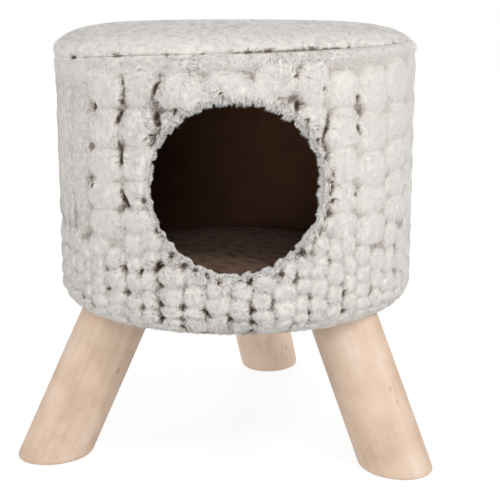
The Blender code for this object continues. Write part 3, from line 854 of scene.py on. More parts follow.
def makePilePaint():
    paint = Paint("plushPile", Roughness=0.9, Specular_IOR_Level=0.15)
    shade = paint.node("ShaderNodeUVMap", {"uv_map": "OFBake"})
    tone, run = (paint.node("ShaderNodeSeparateXYZ", {}, [shade], i) for i in (0, 1))

    def hair(root, middle, tip):
        return paint.ramp(run, (0.0, root), (0.45, middle), (1.0, tip))

    white = hair((216, 211, 204), (243, 240, 236), (251, 249, 246))
    grey = hair((168, 159, 151), (206, 201, 195), (226, 223, 219))
    brown = hair((34, 26, 21), (54, 43, 37), (98, 84, 75))
    pale = paint.mix(paint.spread(tone, 0.5, 0.88, 0.0, 1.0), grey, white)
    paint.feed(Base_Color=paint.mix(paint.spread(tone, 0.2, 0.5, 0.0, 1.0), brown, pale))
    return paint


def scatter(random, low, high, density):
    # Roots spread evenly over the outline between two runs.
    step = 0.001
    rings = np.arange(low, high, step)
    out = np.interp(rings, line["along"], line["out"])
    counts = np.maximum(np.round(math.tau * out * step * density), 1).astype(int)
    along = np.repeat(rings, counts) + random.uniform(0, step, counts.sum())
    angle = random.uniform(-math.pi, math.pi, counts.sum())
    return angle, along


def clumpShift(random, angle, along, size):
    # From each root towards the middle of its clump, in metres across and along, and its share of the way.
    out = np.interp(along, line["along"], line["out"])
    across = angle * drum["radius"]
    column, row = np.floor(across / size).astype(int), np.floor(along / size).astype(int)
    table = random.uniform(0.15, 0.85, (2, 97, 101))
    middleX = (column + table[0, row % 97, column % 101]) * size
    middleY = (row + table[1, row % 97, column % 101]) * size
    share = np.hypot(middleX - across, middleY - along) / size
    return (middleX - across) * out / drum["radius"], middleY - along, np.clip(share, 0, 1)


def surfaceAt(angle, along):
    return onCover(angle, along, skinDepth(angle, along))[0]


def frameAt(angle, along):
    # Outward, sideways and upward directions of the skin, bubbles included.
    step = 0.0008
    turn = step / drum["radius"]
    sideways = unit(surfaceAt(angle + turn, along) - surfaceAt(angle - turn, along))
    upwards = unit(surfaceAt(angle, along + step) - surfaceAt(angle, along - step))
    facing = unit(np.cross(sideways, upwards))
    return facing, sideways, np.cross(facing, sideways)


def shaggyAt(angle, along):
    # The pile is longest and most ruffled at the front, and smooth on the right.
    turn = np.degrees(angle)
    front = np.exp(-(((turn + 4) / 30) ** 4))
    low = smoothStep(toAlong(0.262), toAlong(0.235), along) * np.exp(-(((turn + 2) / 46) ** 4))
    rear = smoothStep(95, 125, np.abs(turn)) * 0.5
    left = within(turn, (-30, -75), (-45, -55)) * 0.45
    return np.clip(np.maximum.reduce([front, low, rear, left, np.full_like(front, 0.15)]), 0, 1)


def growStrands(random, angle, along, length, lift, comb, clump, tone, width, ruffle, stray=0.0):
    # comb and clump are pairs: sideways and along. Strands lie over the skin, their tips free.
    facing, sideways, upwards = frameAt(angle, along)
    roots = surfaceAt(angle, along)
    turn = random.uniform(0, math.tau, len(angle))
    combX = comb[0] + (0.2 + 0.4 * ruffle + stray) * np.cos(turn)
    combY = comb[1] + (0.2 + 0.4 * ruffle + stray) * np.sin(turn)
    flat = unit(sideways * combX[:, None] + upwards * combY[:, None] + 1e-6)
    tips = roots + flat * length[:, None] + facing * lift[:, None]
    tips = tips + sideways * clump[0][:, None] + upwards * clump[1][:, None]
    shown = unit(facing * (1 - pile["flatness"]) + onCover(angle, along, 0.0)[1] * pile["flatness"])
    strands = {"root": roots - facing * pile["rootDepth"], "tip": tips, "width": width, "tone": tone}
    return strands | {"facing": facing, "shown": shown, "ruffle": ruffle}


def makeSidePile(paint):
    random = np.random.default_rng(11)
    angle, along = scatter(random, wallFoot - pile["hemReach"], seatEdge, pile["density"])
    low, high = pile["edgeLevels"]
    more = scatter(random, toAlong(low), toAlong(high), pile["edgeDensity"])
    beside = rimDistance(*more) < pile["edgeReach"]
    angle, along = np.r_[angle, more[0][beside]], np.r_[along, more[1][beside]]
    keep = (along < seamAlong(angle) - 0.0003) & (rimDistance(angle, along) > skin["hole"])
    angle, along = angle[keep], along[keep]
    count, turn, distance = len(angle), np.degrees(angle), rimDistance(angle, along)
    sideways, upwards = fromEntrance(angle, along)

    def read(values):
        return readMap(values, angle, along)

    pit, puff, shade = read(pitMap), puffAt(angle, along), plushBrownAndShade(angle, along)
    shaggy = shaggyAt(angle, along)
    dark = np.clip(seamDark(angle, along), 0, 1)
    underSeam = np.exp(-((seamAlong(angle) - along) / 0.004)) * (0.3 + 0.7 * dark)
    # The pile flows in soft whorls, out of the pits, off the bubbles' tops and in over the rim.
    lively = 0.3 + 0.9 * shaggy
    comb = []
    for i in range(2):
        away, star, out = (-read(slope[1 - i]) for slope in slopes)
        flow = 0.7 * read(flowMaps[i]) + 0.5 * read(fineMaps[i]) + out / 220
        comb.append(lively * flow + away / 220 + star / 22)
    inwards = 2.2 * (1 - smoothStep(entrance["edge"], 0.088, distance)) / distance
    comb[0] = comb[0] - inwards * sideways
    comb[1] = comb[1] - inwards * upwards - pile["downwards"] - 1.2 * underSeam
    length = pile["length"] * random.uniform(0.7, 1.15, count) * (0.85 + 0.45 * shaggy)
    length = length * (0.6 + 0.4 * puff**2) * (1 - 0.2 * pit)
    lift = pile["lift"] * random.uniform(0.2, 1.0, count) * (0.8 + 1.6 * shaggy) * (1 - 0.8 * underSeam)
    # Ruffled pile is painted paler, painted light against its own shadow, with a random spread; painted shade
    # then greys it in the valleys and in the grooves between the left ridges, and pits and seams darken it
    # with their brown.
    tone = 0.80 + 0.18 * shaggy - (0.05 + 0.09 * shaggy) * np.abs(random.standard_normal(count))
    tone = tone - 0.4 * np.minimum(shade, 0.35) - 0.22 * leftRidges(angle) * (1 - puff) ** 0.6
    tone = np.clip(tone, 0.45, 0.98)
    # Brown shows in the pits, thinly between the bubbles at the front, and in a flecked band.
    front = bell(turn + 8, 38)
    fleck = smoothStep(0.0, 0.6, read(fleckMap))
    valley = smoothStep(0.12, 0.5, 1 - read(puffMap))
    band = within(turn, (-8, 34), (6, 24)) * smoothStep(toAlong(0.370), toAlong(0.378), along)
    share = 0.66 * smoothStep(0.2, 0.6, shade) + 0.22 * smoothStep(0.03, 0.2, pit)
    share = share + front * (valley * (0.05 + 0.28 * fleck) + 0.014 + 0.04 * fleck)
    share = share + band * (0.06 + 0.16 * fleck)
    share = share + 0.07 * (1 - smoothStep(entrance["edge"], 0.086, distance))
    # Brown hairs lie like rays round the pits.
    star = smoothStep(0.02, 0.12, read(starMap)) * (1 - pit) * front
    share = share + 0.15 * star
    # Strands at a clump's edge are darker, painted shade between the tufts, so that tufts stand out where the
    # pile is ruffled; there some roots show brown too.
    clump = clumpShift(random, angle, along, pile["clump"])
    between = smoothStep(0.45, 0.9, clump[2]) * shaggy
    tone = tone - 0.22 * between
    share = share + 0.05 * between * front
    brown = random.uniform(0, 1, count) < share
    tone[brown] = random.uniform(0.02, 0.34, brown.sum())
    lift[brown] = lift[brown] * 1.2
    length[brown] = length[brown] * (random.uniform(0.5, 1.0, brown.sum()) + 0.45 * star[brown])
    # Tufts lean over the entrance's edge, each with a reach of its own.
    turn = np.arctan2(upwards, sideways) / math.tau * rim["tufts"]
    tuft = np.floor(turn).astype(int) % rim["tufts"]
    atEdge = 1 - smoothStep(entrance["edge"], 0.087, distance)
    short = shortness(np.arctan2(sideways, upwards))
    length = length * (1 + atEdge * (random.uniform(-0.65, 0.30, rim["tufts"])[tuft] - 0.62 * short))
    aside = (np.floor(turn) + 0.5 - turn) / rim["tufts"] * math.tau * 0.45 * atEdge
    pull = 0.15 + 0.6 * shaggy
    clump = (clump[0] * pull - aside * upwards, clump[1] * pull + aside * sideways)
    width = pile["width"] * random.uniform(0.7, 1.15, count) * np.where(brown, 0.75, 1.0)
    ruffle = 0.15 + 0.5 * shaggy + 0.5 * pit
    strands = growStrands(random, angle, along, length, lift, comb, clump, tone, width, ruffle, 1.6 * pit)
    clear = ~inLegs(strands["root"], 0.0003)
    sector = ((angle + math.pi) / math.tau * pile["sectors"]).astype(int)
    plantParts("sidePile", strands, paint, [(sector == i) & clear for i in range(pile["sectors"])])


seatFlow = np.random.default_rng(3).uniform(-1, 1, (2, 61, 61))


def seatNoise(places, size, table):
    # Soft noise over the seat, by place.
    x, y = (places[:, 0] + 1) / size, (places[:, 1] + 1) / size
    column, row = x.astype(int), y.astype(int)
    corners = [table[(row + i) % 61, (column + j) % 61] for i in (0, 1) for j in (0, 1)]
    return amid(eased(x - column), eased(y - row), *corners)


def makeSeatPile(paint):
    random = np.random.default_rng(12)
    angle, along = scatter(random, wallFoot, lineEnd - 0.0005, pile["seatDensity"])
    keep = along > seamAlong(angle) + 0.0004 + 0.0006 * readMap(fineMaps[0], angle, along)
    angle, along = angle[keep], along[keep]
    count, aboveSeam = len(angle), along - seamAlong(angle)
    places = onCover(angle, along, 0.0)[0]
    overEdge = np.clip(1 - aboveSeam / 0.014, 0, 1)
    # Where the seam isn't dark, the pile falls over it.
    over = 1.3 * (1 - np.clip(seamDark(angle, along), 0, 1))
    over = (over + smoothStep(0.3, 0.6, readMap(fleckMap, angle, along))) * overEdge**2
    comb = []
    for table in seatFlow:
        flow, fine = seatNoise(places, 0.0055, table), seatNoise(places + 0.4, 0.0026, table)
        comb.append(0.9 * flow + 0.9 * fine)
    comb[1] = comb[1] + 0.35 * overEdge - over
    length = pile["seatLength"] * random.uniform(0.6, 1.15, count) * (1 + 0.4 * overEdge)
    lift = pile["lift"] * random.uniform(0.3, 1.8, count) * (1 - 0.4 * overEdge * np.abs(np.sin(angle)))
    # Painted shade darkens the pile towards the seat's rounded edge, over a random spread of tone.
    tone = 0.93 - 0.08 * overEdge - 0.08 * np.abs(random.standard_normal(count))
    tone = tone - 0.07 * smoothStep(0.2, 0.8, seatNoise(places + 0.2, 0.0045, seatFlow[0]))
    shade = plushBrownAndShade(angle, along)
    fringe = np.exp(-(aboveSeam / 0.0028)) * (0.08 + 0.35 * smoothStep(0.1, 0.6, shade))
    brown = random.uniform(0, 1, count) < 0.9 * smoothStep(0.25, 0.7, shade) + 0.001 + fringe
    tone[brown] = random.uniform(0.1, 0.35, brown.sum())
    clump = [shift * 0.35 for shift in clumpShift(random, angle, along, pile["seatClump"])[:2]]
    width = pile["width"] * random.uniform(0.6, 1.0, count)
    ruffle = np.full(count, 0.45)
    strands = growStrands(random, angle, along, length, lift, comb, clump, tone, width, ruffle)
    plantParts("seatPile", strands, paint, [angle < 0, angle >= 0])


# The rim is a half-round section spun about the entrance's axis, set on the round wall.
def rimPoint(turn, bend):
    # turn runs round the entrance, bend from the cave's side through the hole to the front.
    outside = drum["radius"] + rim["proud"]
    middle, half = (rim["inside"] + outside) / 2, (outside - rim["inside"]) / 2
    lumps = np.sin(turn * 29 + 2 * np.sin(turn * 5)) + 0.6 * np.sin(turn * 47 + 1)
    roll = rim["roll"] + rim["scallop"] * lumps + rim["dropped"] * np.sin(turn)
    return entrance["hole"] - rim["gap"] - roll * np.cos(bend), middle + half * np.sin(bend)


def aroundEntrance(turn, radius, depth):
    # From round the entrance to the row frame, with the depth measured from the drum's axis.
    sideways, upwards = radius * np.cos(turn), radius * np.sin(turn)
    forward = np.sqrt(np.maximum(depth**2 - sideways**2, 0))
    c, s = math.cos(entrance["turn"]), math.sin(entrance["turn"])
    x = drum["x"] + sideways * c + forward * s
    y = drum["y"] + sideways * s - forward * c
    return np.stack([x, y, entrance["height"] + upwards], 1)


def makeRim():
    mesh = bmesh.new()
    corners = []
    for bend in np.linspace(-math.pi / 2, math.pi / 2, rim["sectionSteps"] + 1):
        radius, depth = rimPoint(0.0, bend)
        corners.append(mesh.verts.new((radius, -depth, 0)))
    edges = [mesh.edges.new(pair) for pair in zip(corners, corners[1:] + corners[:1])]
    spin = {"cent": (0, 0, 0), "axis": (0, 1, 0), "angle": math.tau, "steps": rim["steps"], "use_merge": True}
    bmesh.ops.spin(mesh, geom=corners + edges, **spin)
    bmesh.ops.remove_doubles(mesh, verts=mesh.verts, dist=0.000001)
    flat = coordsOf(mesh.verts)
    turn = np.arctan2(flat[:, 2], flat[:, 0])
    reach = np.hypot(flat[:, 0], flat[:, 2])
    share = (entrance["hole"] - rim["gap"] - reach) / rim["roll"]
    reach = reach - (rimPoint(0.0, 0.0)[0] - rimPoint(turn, 0.0)[0]) * share
    for vert, place in zip(mesh.verts, aroundEntrance(turn, reach, -flat[:, 1])):
        vert.co = place
    bmesh.ops.recalc_face_normals(mesh, faces=mesh.faces)
    piece = toPiece("entranceRim", mesh)
    store(piece, "dark", np.full(len(piece.data.vertices), rim["shade"]))
    settle(piece, skinPaint, ["entrance_rim"])


def makeRimPile(paint):
    random = np.random.default_rng(13)
    clumps = rim["clumps"]
    count = int(math.tau * entrance["clear"] * math.pi * rim["arc"] * rim["density"])
    turn = random.uniform(0, math.tau, count)
    bend = np.radians(random.uniform(*rim["bends"], count))
    radius, depth = rimPoint(turn, bend)
    roots = aroundEntrance(turn, radius, depth)
    inwards = unit(aroundEntrance(turn, radius - 0.001, depth) - roots)
    forwards = unit(aroundEntrance(turn, radius, depth + 0.001) - roots)
    sideways = np.cross(inwards, forwards)
    facing = unit(inwards * np.cos(bend)[:, None] + forwards * np.sin(bend)[:, None])
    cell = np.floor(turn / math.tau * clumps).astype(int) % clumps
    middle = (cell + 0.5 + random.uniform(-0.3, 0.3, clumps)[cell]) / clumps * math.tau
    sway = 0.6 * random.standard_normal(clumps)[cell] + 0.35 * random.standard_normal(count)
    size = rim["length"] * random.uniform(0.7, 1.1, count) * random.uniform(0.5, 1.25, clumps)[cell]
    size = size * (1 - 0.62 * shortness(math.pi / 2 - turn)) * (1 - 0.4 * smoothStep(0.7, 1.2, bend))
    # In the hole the strands lie along it, at the front they turn over its edge.
    flat = unit(inwards + sideways * sway[:, None] * 0.4)
    out = np.clip(np.sin(bend), 0, 1)[:, None]
    along = unit(flat * out - forwards * (1 - out) * 0.6 + facing * 0.25)
    start, end = unit(along + facing * 0.35), unit(along * 0.9 + flat * 0.5)
    pull = -sideways * ((middle - turn) * entrance["clear"])[:, None]
    tips = roots + unit(start + end) * size[:, None] + pull * 0.5
    facing = unit(facing * 0.55 + forwards * 0.7)
    tone = np.clip(0.94 - 0.12 * np.abs(random.standard_normal(count)), 0.5, 0.98)
    top = 0.12 * np.clip(np.sin(turn), 0, 1)
    brown = random.uniform(0, 1, count) < 0.07 + top + 0.14 * (random.uniform(0, 1, clumps)[cell] > 0.75)
    tone[brown] = random.uniform(0.1, 0.4, brown.sum())
    strands = {"root": roots - facing * 0.0003, "tip": tips, "tone": tone, "facing": facing, "shown": facing}
    strands |= {"width": pile["width"] * random.uniform(0.8, 1.3, count), "ruffle": np.full(count, 0.5)}
    plant("rimPile", strands, paint)
    print("rimPile", count)


pilePaint = makePilePaint()
makeSidePile(pilePaint)
makeSeatPile(pilePaint)
makeRim()
makeRimPile(pilePaint)


# The sleeve is cut flat as a strip with the entrance's hole, the seat as a disc; here only their sizes are
# worked out.
sleeveWidth = math.tau * drum["radius"]
sleeveHeight = float(seamAlong(np.array(0.0)))
seatCut = lineEnd - sleeveHeight
2 * seatCut
2 * seatCut
math.pi * seatCut**2


# The cave's lining, the foam under the plush and the loose cushion.
cave = {
    "liningInside": 0.1572,
    "liningThickness": 0.0012,
    "discRadius": 0.1564,
    "discThickness": 0.0018,
    "discEdge": 0.0007,
    "holeLap": 0.004,  # the lining reaches this far into the hole
    "grid": (160, 60),
    "gap": 0.0002,
    "paddingInside": 0.1659,
    "paddingThickness": 0.0046,
    "paddingLift": 0.012,
    "foamRadius": 0.1698,
    "foamEdge": 0.002,
    "foamSteps": 120,
}


def makeTube(name, radius, low, high, hole, thickness):
    # A grid rolled round the drum's axis, with the entrance's hole left out.
    def toEntrance(angle, height):
        aside = angle - entrance["turn"]
        sideways = np.where(np.cos(aside) < 0, 1.0, radius * np.sin(aside))
        return sideways, height - entrance["height"]

    mesh, angles, heights = wrapGrid(
        cave["grid"], lambda angle: low, lambda angle: high, toEntrance, radius, float, hole
    )
    for vert, angle, height in zip(mesh.verts, angles, heights):
        vert.co = (drum["x"] + radius * math.sin(angle), drum["y"] - radius * math.cos(angle), height)
    closeMesh(mesh)
    piece = toPiece(name, mesh)
    addThickness(piece, thickness, 1.0)
    return piece


def addThickness(piece, thickness, offset):
    wall = piece.modifiers.new("thickness", "SOLIDIFY")
    wall.thickness = thickness
    wall.offset = offset


def makeTurned(name, profile, steps, shape=None):
    # A profile of radius and height turned about the drum's axis.
    mesh = bmesh.new()
    corners = [mesh.verts.new((radius, 0, height)) for radius, height in profile]
    edges = [mesh.edges.new(pair) for pair in zip(corners, corners[1:])]
    spin = {"cent": (0, 0, 0), "axis": (0, 0, 1), "angle": math.tau, "steps": steps, "use_merge": True}
    bmesh.ops.spin(mesh, geom=corners + edges, **spin)
    closeMesh(mesh, weld=0.000005)
    if shape:
        shape(mesh)
    bmesh.ops.translate(mesh, verts=mesh.verts, vec=(drum["x"], drum["y"], 0))
    return toPiece(name, mesh)


def makeFeltPaint(name, light, dark):
    paint = Paint(name, Roughness=0.95, Specular_IOR_Level=0.1)
    where = paint.place()
    fibres = paint.noise(where, 900.0, 3.0, 0.65)
    patches = paint.noise(where, 35.0, 2.0, 0.5)
    share = (fibres - 0.5) * 1.2 + (patches - 0.5) * 0.8 + 0.5
    share = share.work("MINIMUM", 1.0).work("MAXIMUM", 0.0)
    paint.feed(Base_Color=paint.mix(share, colour(*dark), colour(*light)))
    paint.bump(fibres, 0.0005, 0.6)
    return paint


def makeFoamPaint():
    paint = Paint("cutFoam", Roughness=0.9, Specular_IOR_Level=0.2)
    cells = paint.cells(paint.place(), 700.0)
    paint.feed(Base_Color=paint.ramp(cells, (0.1, (196, 182, 140)), (0.5, (231, 224, 196))))
    paint.bump(cells, 0.0006, 0.8)
    return paint


def makeLinings():
    paint = makeFeltPaint("brownLining", (98, 71, 52), (74, 51, 37))
    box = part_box("wall_lining")
    low, high = box[0].z + cave["gap"], box[1].z - cave["gap"]
    radius, hole = cave["liningInside"], entrance["hole"] - cave["holeLap"]
    wall = makeTube("caveWall", radius, low, high, hole, cave["liningThickness"])
    settle(wall, paint, ["wall_lining"])
    width, height = math.tau * radius, high - low
    area = width * height - math.pi * hole**2
    radius, edge, half = cave["discRadius"], cave["discEdge"], cave["discThickness"] / 2
    for place, board in (("Ceiling", "top_board"), ("Floor", "base_board")):
        node = f"{place.lower()}_lining"
        middle = middleOf(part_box(node)).z
        lower = [(0, middle - half), (radius - edge, middle - half), (radius, middle - half + edge)]
        upper = [(radius, middle + half - edge), (radius - edge, middle + half), (0, middle + half)]
        disc = makeTurned(f"cave{place}", lower + upper, cave["grid"][0])
        settle(disc, paint, [node])


def makeFoams():
    paint = makeFoamPaint()
    box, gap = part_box("wall_padding"), cave["gap"]
    low, high, hole = box[0].z + cave["paddingLift"], box[1].z - gap, entrance["hole"] + 0.0003
    wall = makeTube("wallPadding", cave["paddingInside"], low, high, hole, cave["paddingThickness"])
    settle(wall, paint, ["wall_padding"])
    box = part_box("seat_foam")
    radius, edge, low, high = cave["foamRadius"], cave["foamEdge"], box[0].z + gap / 2, box[1].z - gap
    start = drum["top"] - drum["seatRise"]
    profile = [(0, low), (radius - edge, low), (radius, low + edge), (radius, start)]
    for turn in np.radians(np.linspace(3, 87, 20)):
        out = radius * math.cos(turn) ** (2 / drum["seatFlatness"])
        profile.append((out, start + (high - start) * math.sin(turn) ** (2 / drum["seatSoftness"])))
    foam = makeTurned("seatFoam", profile + [(0, high)], cave["foamSteps"])
    settle(foam, paint, ["seat_foam"])


cushion = {
    "radius": 0.1538,
    "over": 0.0205,
    "under": 0.0107,
    "overPower": 2.5,
    "underPower": 5.0,
    "rings": 64,
    "steps": 200,
    "seamGap": 0.00015,
    "dimple": 0.0017,
    "acrossDimple": 0.030,
    "alongDimple": 0.0165,
    "patternTurn": -56,  # degrees
    "piping": 0.0016,
}


def pillowHalf(rise, power, count):
    points = []
    for share in np.linspace(1, 0, count):
        out = share * (2 - share)
        points.append((cushion["radius"] * out, rise * max(1 - out**power, 0.0) ** 0.5))
    return points


def dimplesAt(x, y):
    # Short dents in slanting rows: 0 in them and 1 between.
    turn = math.radians(cushion["patternTurn"])
    across = (x * math.cos(turn) + y * math.sin(turn)) / cushion["acrossDimple"]
    along = (y * math.cos(turn) - x * math.sin(turn)) / cushion["alongDimple"]
    along = along + 0.16 * np.sin(across * 4.3)
    row = np.round(along)
    across = across + 0.5 * (row % 2) + 0.2 * np.sin(row * 2.7)
    u, v = (across - np.floor(across)) * 2 - 1, along - row
    return 1 - (0.8 + 0.2 * np.sin(row * 5.1)) * np.exp(-((v / 0.19) ** 2) - (u / 0.6) ** 4)


def makeCushionPaint():
    sheen = {"Sheen_Weight": 0.04, "Sheen_Roughness": 0.6}
    paint = Paint("cushionPlush", Roughness=0.95, Specular_IOR_Level=0.1, **sheen)
    where = paint.place()
    fibres = paint.noise(where, 700.0, 3.0, 0.65)
    patches = paint.noise(where, 60.0, 2.0, 0.5)
    # The dents are painted darker, painted shade in them, over fibre and patch noise.
    share = paint.attribute("puff", 2) * 0.65 - 0.1 + (fibres - 0.5) * 0.8 + (patches - 0.5) * 0.7
    paint.feed(Base_Color=paint.ramp(share, (0.1, (97, 72, 56)), (0.5, (123, 96, 79)), (0.9, (139, 114, 98))))
    paint.bump(fibres, 0.0007, 0.8)
    return paint


def makeCushion():
    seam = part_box("cushion_top")[0].z - cushion["seamGap"]
    top = pillowHalf(cushion["over"], cushion["overPower"], cushion["rings"])
    base = pillowHalf(cushion["under"], cushion["underPower"], cushion["rings"] // 2)
    profile = [(r, seam + h) for r, h in top[::-1]] + [(r, seam - h) for r, h in base[1:]]
    profile[0], profile[-1] = (0.0, profile[0][1]), (0.0, profile[-1][1])

    def dimple(mesh):
        for vert in mesh.verts:
            if vert.co.z > seam:
                share = (vert.co.z - seam) / cushion["over"]
                puff = float(dimplesAt(np.array(vert.co.x), np.array(vert.co.y)))
                vert.co.z -= cushion["dimple"] * (1 - puff) * min(share * 2, 1.0)

    piece = makeTurned("caveCushion", profile, cushion["steps"], dimple)
    points = coordsOf(piece.data.vertices)
    store(piece, "puff", dimplesAt(points[:, 0] - drum["x"], points[:, 1] - drum["y"]))
    paint = makeCushionPaint()
    settle(piece, paint, ["cushion_top", "cushion_base", "cushion_core"], "cushion")
    size, radius = cushion["piping"], cushion["radius"]
    turns = np.linspace(0, math.tau, 11)
    ring = [(radius - size + size * math.cos(turn), seam + size * math.sin(turn)) for turn in turns]
    piping = makeTurned("cushionPiping", ring, cushion["steps"])
    settle(piping, paint, body="cushion")


makeLinings()
makeFoams()
makeCushion()
print("cave made")


def makeWoodPaint(name, lift):
    # Pale wood with streaks, clouds and knots; lift paints one leg paler, painted light against the drum's
    # shadow on it.
    paint = Paint(name, Roughness=0.6, Specular_IOR_Level=0.3)
    grain = paint.attribute("grain", 1)
    streaks = paint.stretched(grain, (1.0, 1.0, 0.07))
    broad = paint.noise(streaks, 60.0, 2.0, 0.5)
    fine = paint.noise(streaks, 420.0, 3.0, 0.6)
    clouds = paint.noise(grain, 26.0, 3.0, 0.6)
    share = (broad - 0.5) * 0.7 + (fine - 0.5) * 0.35 + (clouds - 0.5) * 1.0 + 0.5
    tones = [(0.2, (186, 159, 136)), (0.5, (206, 181, 160)), (0.85, (218, 196, 179))]
    plain = paint.ramp(share, *((place, [value + lift for value in tone]) for place, tone in tones))
    knot = paint.spread(paint.cells(paint.stretched(grain, (1.0, 1.0, 0.45)), 41.0), 0.03, 0.09, 0.5, 0.0)
    paint.feed(Base_Color=paint.mix(knot, plain, colour(120, 88, 66)))
    paint.bump(fine, 0.0003, 0.35)
    return paint


def makeLeg(end, paint):
    head, foot = legLine(end)
    mesh = bmesh.new()
    place = addBar(mesh, end, (head + foot) / 2, legs["radius"], legs["length"], legs["steps"])
    for level, way in ((0.0, -1), (head.z, 1)):
        everything = mesh.verts[:] + mesh.edges[:] + mesh.faces[:]
        plane = {"plane_co": (0, 0, level), "plane_no": (0, 0, way), "clear_outer": True}
        cut = bmesh.ops.bisect_plane(mesh, geom=everything, **plane)
        ring = [item for item in cut["geom_cut"] if isinstance(item, bmesh.types.BMEdge)]
        bmesh.ops.holes_fill(mesh, edges=ring)
    ring = [edge for edge in mesh.edges if max(vert.co.z for vert in edge.verts) < 0.0001]
    size = legs["soleRound"]
    bmesh.ops.bevel(mesh, geom=ring, offset=size, segments=5, profile=0.5, affect="EDGES", material=-1)
    piece = toPiece("leg" + end.title().replace("_", ""), mesh)
    piece.data.set_sharp_from_angle(angle=math.radians(40))
    # The grain runs along the leg, from another part of the wood on each.
    own = place.inverted()
    store(piece, "grain", np.array([own @ vert.co for vert in piece.data.vertices], np.float32) + foot.x * 3)
    settle(piece, paint, [f"leg_{end}"])


# The rear leg's wood is painted paler, painted light against the drum's shadow.
makeLeg("rear", makeWoodPaint("paleWoodRearPaintedLight", legs["rearPaintedLight"]))
woodPaint = makeWoodPaint("paleWood", 0)
for end in ("front_left", "front_right"):
    makeLeg(end, woodPaint)
print("legs made")


# Thin cloth under the drum, cut out round the legs.
underside = {
    "lapRadius": 0.1341,
    "radius": 0.1546,
    "thickness": 0.0006,
    "gap": 0.0001,
    "topGap": 0.0007,
    "rings": 12,
    "steps": 180,
    "legRoom": 0.0010,
    "legSteps": 64,
}


def makeUndersideCloth():
    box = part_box("underside_cloth")
    low, high = box[0].z + underside["gap"], box[1].z - underside["topGap"]
    lap, rings = underside["lapRadius"], underside["rings"]
    profile = [(0.0, high)] + [(lap * i / rings, high) for i in range(1, rings)]
    profile += [(lap - 0.0012, high), (lap, high - 0.0010), (lap + 0.0004, low + 0.0012), (lap + 0.0016, low)]
    profile += [(underside["radius"], low)]
    cloth = makeTurned("undersideCloth", profile, underside["steps"])
    addThickness(cloth, underside["thickness"], -1.0)
    for end in legs["ends"]:
        mesh = bmesh.new()
        addBar(mesh, end, legLine(end)[0], legs["radius"] + underside["legRoom"], 0.1, underside["legSteps"])
        cloth.modifiers.new("legRoom", "BOOLEAN").object = toPiece(f"cutter_{end}", mesh)
    data = bpy.data.meshes.new_from_object(cloth.evaluated_get(bpy.context.evaluated_depsgraph_get()))
    for change in list(cloth.modifiers):
        if change.type == "BOOLEAN":
            bpy.data.objects.remove(change.object)
        cloth.modifiers.remove(change)
    cloth.data = data
    settle(cloth, makeFeltPaint("blackCloth", (38, 37, 37), (24, 24, 24)), ["underside_cloth"])


makeUndersideCloth()
print("underside made")


# The frame's own hard parts keep their shapes and get finishes.
def makeBoardPaint():
    paint = Paint("pressedBoard", Roughness=0.75, Specular_IOR_Level=0.3)
    where = paint.place()
    chips = paint.noise(where, 260.0, 4.0, 0.65)
    clouds = paint.noise(where, 24.0, 2.0, 0.5)
    share = (chips - 0.5) * 0.9 + (clouds - 0.5) * 0.5 + 0.5
    tones = [(0.3, (132, 98, 66)), (0.55, (162, 127, 92)), (0.75, (188, 156, 120))]
    paint.feed(Base_Color=paint.ramp(share, *tones))
    paint.bump(chips, 0.0004, 0.5)
    return paint


def makeZincPaint():
    paint = Paint("brightZinc", Metallic=1.0, Specular_IOR_Level=0.5)
    where = paint.place()
    grey = paint.node("ShaderNodeRGBToBW", {}, [paint.cells(where, 420.0, 1)])
    paint.feed(Base_Color=paint.mix(grey, colour(186, 188, 192), colour(214, 215, 218)))
    paint.feed(Roughness=grey * 0.15 + 0.28)
    paint.bump(paint.noise(where, 900.0, 2.0, 0.5), 0.0001, 0.3)
    return paint


def finishFrame():
    board, zinc = makeBoardPaint(), makeZincPaint()
    hard = {word: board for word in ("board", "shell", "batten")}
    hard |= {word: zinc for word in ("nut", "bolt", "screw", "staple")}
    for name, node in frame["nodes"].items():
        for word, paint in hard.items():
            if word in name.split("_"):
                for place in node.material_slots:
                    place.material = paint.material


finishFrame()
print("frame finished")


# Floor, light and camera.
view = {
    "place": (0.0268, -1.2042, 0.442),
    "tilt": 12.27,
    "lens": 83.74,
    "ambient": 0.54,
    "floorRadius": 6.0,
    "floorGap": 0.0002,
    "aimHeight": 0.22,
}
# Each lamp's place, width and power.
lamps = {
    "keyLamp": ((1.0, -1.5, 2.0), 0.45, 16),
    "frontLamp": ((-0.3, -2.2, 0.28), 0.8, 11),
    "upperLamp": ((0.1, -2.0, 1.2), 0.8, 7.5),
    "backLamp": ((0.2, 2.1, 1.05), 0.7, 15),
    "leftLamp": ((-1.6, -0.4, 0.7), 1.2, 5.5),
    "rightLamp": ((1.7, -0.2, 0.7), 1.2, 6.5),
}


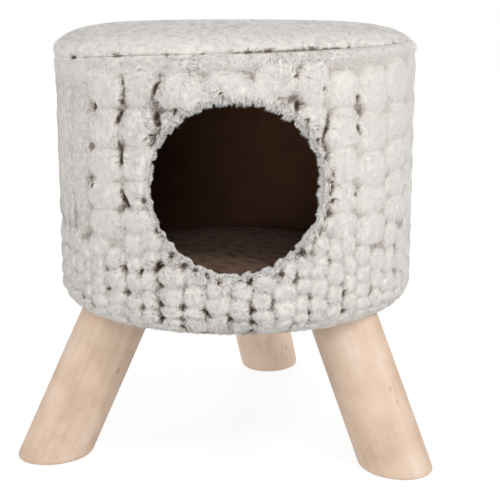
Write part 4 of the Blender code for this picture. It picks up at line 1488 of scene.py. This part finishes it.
def makeFloor():
    # To the camera the floor is mostly its own white, so that only a soft shadow shows on it.
    paint = Paint("floorWhite", Roughness=1.0, Specular_IOR_Level=0.0, Base_Color=(0.88, 0.88, 0.88, 1.0))
    rays = [paint.node("ShaderNodeLightPath", output=i) for i in (0, 3, 6)]
    seen = (rays[0] + rays[1] + rays[2]).work("MINIMUM", 1.0)
    away = paint.node("ShaderNodeVectorMath", {"operation": "LENGTH"}, [paint.place()], 1)
    pale = paint.node("ShaderNodeBsdfDiffuse", {}, {"Color": (0.2, 0.2, 0.2, 1.0)})
    glow = paint.node("ShaderNodeEmission", {}, {"Strength": paint.spread(away, 0.5, 2.0, 0.86, 1.0)})
    both = paint.node("ShaderNodeAddShader", {}, [pale, glow])
    shown = paint.node("ShaderNodeMixShader", {}, [seen, Signal(paint, paint.shader.outputs[0]), both])
    paint.tree.links.new(shown.socket, paint.tree.nodes["Material Output"].inputs["Surface"])
    mesh = bmesh.new()
    bmesh.ops.create_circle(mesh, cap_ends=True, segments=64, radius=view["floorRadius"])
    bmesh.ops.translate(mesh, verts=mesh.verts, vec=(0, 0, -view["floorGap"]))
    floor = toPiece("floor", mesh, smooth=False)
    floor.data.materials.append(paint.material)


def makeWorld():
    # White where it is seen, also in reflections and through glass, and dimmer as light.
    world = bpy.data.worlds.new("studio")
    bpy.context.scene.world = world
    world.use_nodes = True
    nodes, links = world.node_tree.nodes, world.node_tree.links
    background = nodes["Background"]
    rays = nodes.new("ShaderNodeLightPath")
    direct, seen = nodes.new("ShaderNodeMath"), nodes.new("ShaderNodeMath")
    seen.use_clamp = True
    strength = nodes.new("ShaderNodeMapRange")
    strength.inputs["To Min"].default_value = view["ambient"]
    strength.inputs["To Max"].default_value = 1.0
    background.inputs["Color"].default_value = (1.0, 1.0, 1.0, 1.0)
    for output, socket in (
        (rays.outputs["Is Camera Ray"], direct.inputs[0]),
        (rays.outputs["Is Glossy Ray"], direct.inputs[1]),
        (direct.outputs[0], seen.inputs[0]),
        (rays.outputs["Is Transmission Ray"], seen.inputs[1]),
        (seen.outputs[0], strength.inputs["Value"]),
        (strength.outputs[0], background.inputs["Strength"]),
    ):
        links.new(output, socket)


def addLamp(name, place, size, power):
    lamp = bpy.data.lights.new(name, "AREA")
    lamp.shape = "DISK"
    lamp.size = size
    lamp.energy = power
    holder = show(name, lamp)
    holder.location = place
    aim = Vector((drum["x"], drum["y"], view["aimHeight"]))
    holder.rotation_euler = (aim - Vector(place)).to_track_quat("-Z", "Y").to_euler()


def makeCamera():
    data = bpy.data.cameras.new("camera")
    data.lens = view["lens"]
    data.sensor_width = 36
    holder = show("camera", data)
    holder.location = view["place"]
    holder.rotation_euler = (math.radians(90 - view["tilt"]), 0, 0)
    bpy.context.scene.camera = holder


makeFloor()
makeWorld()
for name, settings in lamps.items():
    addLamp(name, *settings)
makeCamera()
bpy.context.scene.view_settings.view_transform = "Standard"
print("stage set")
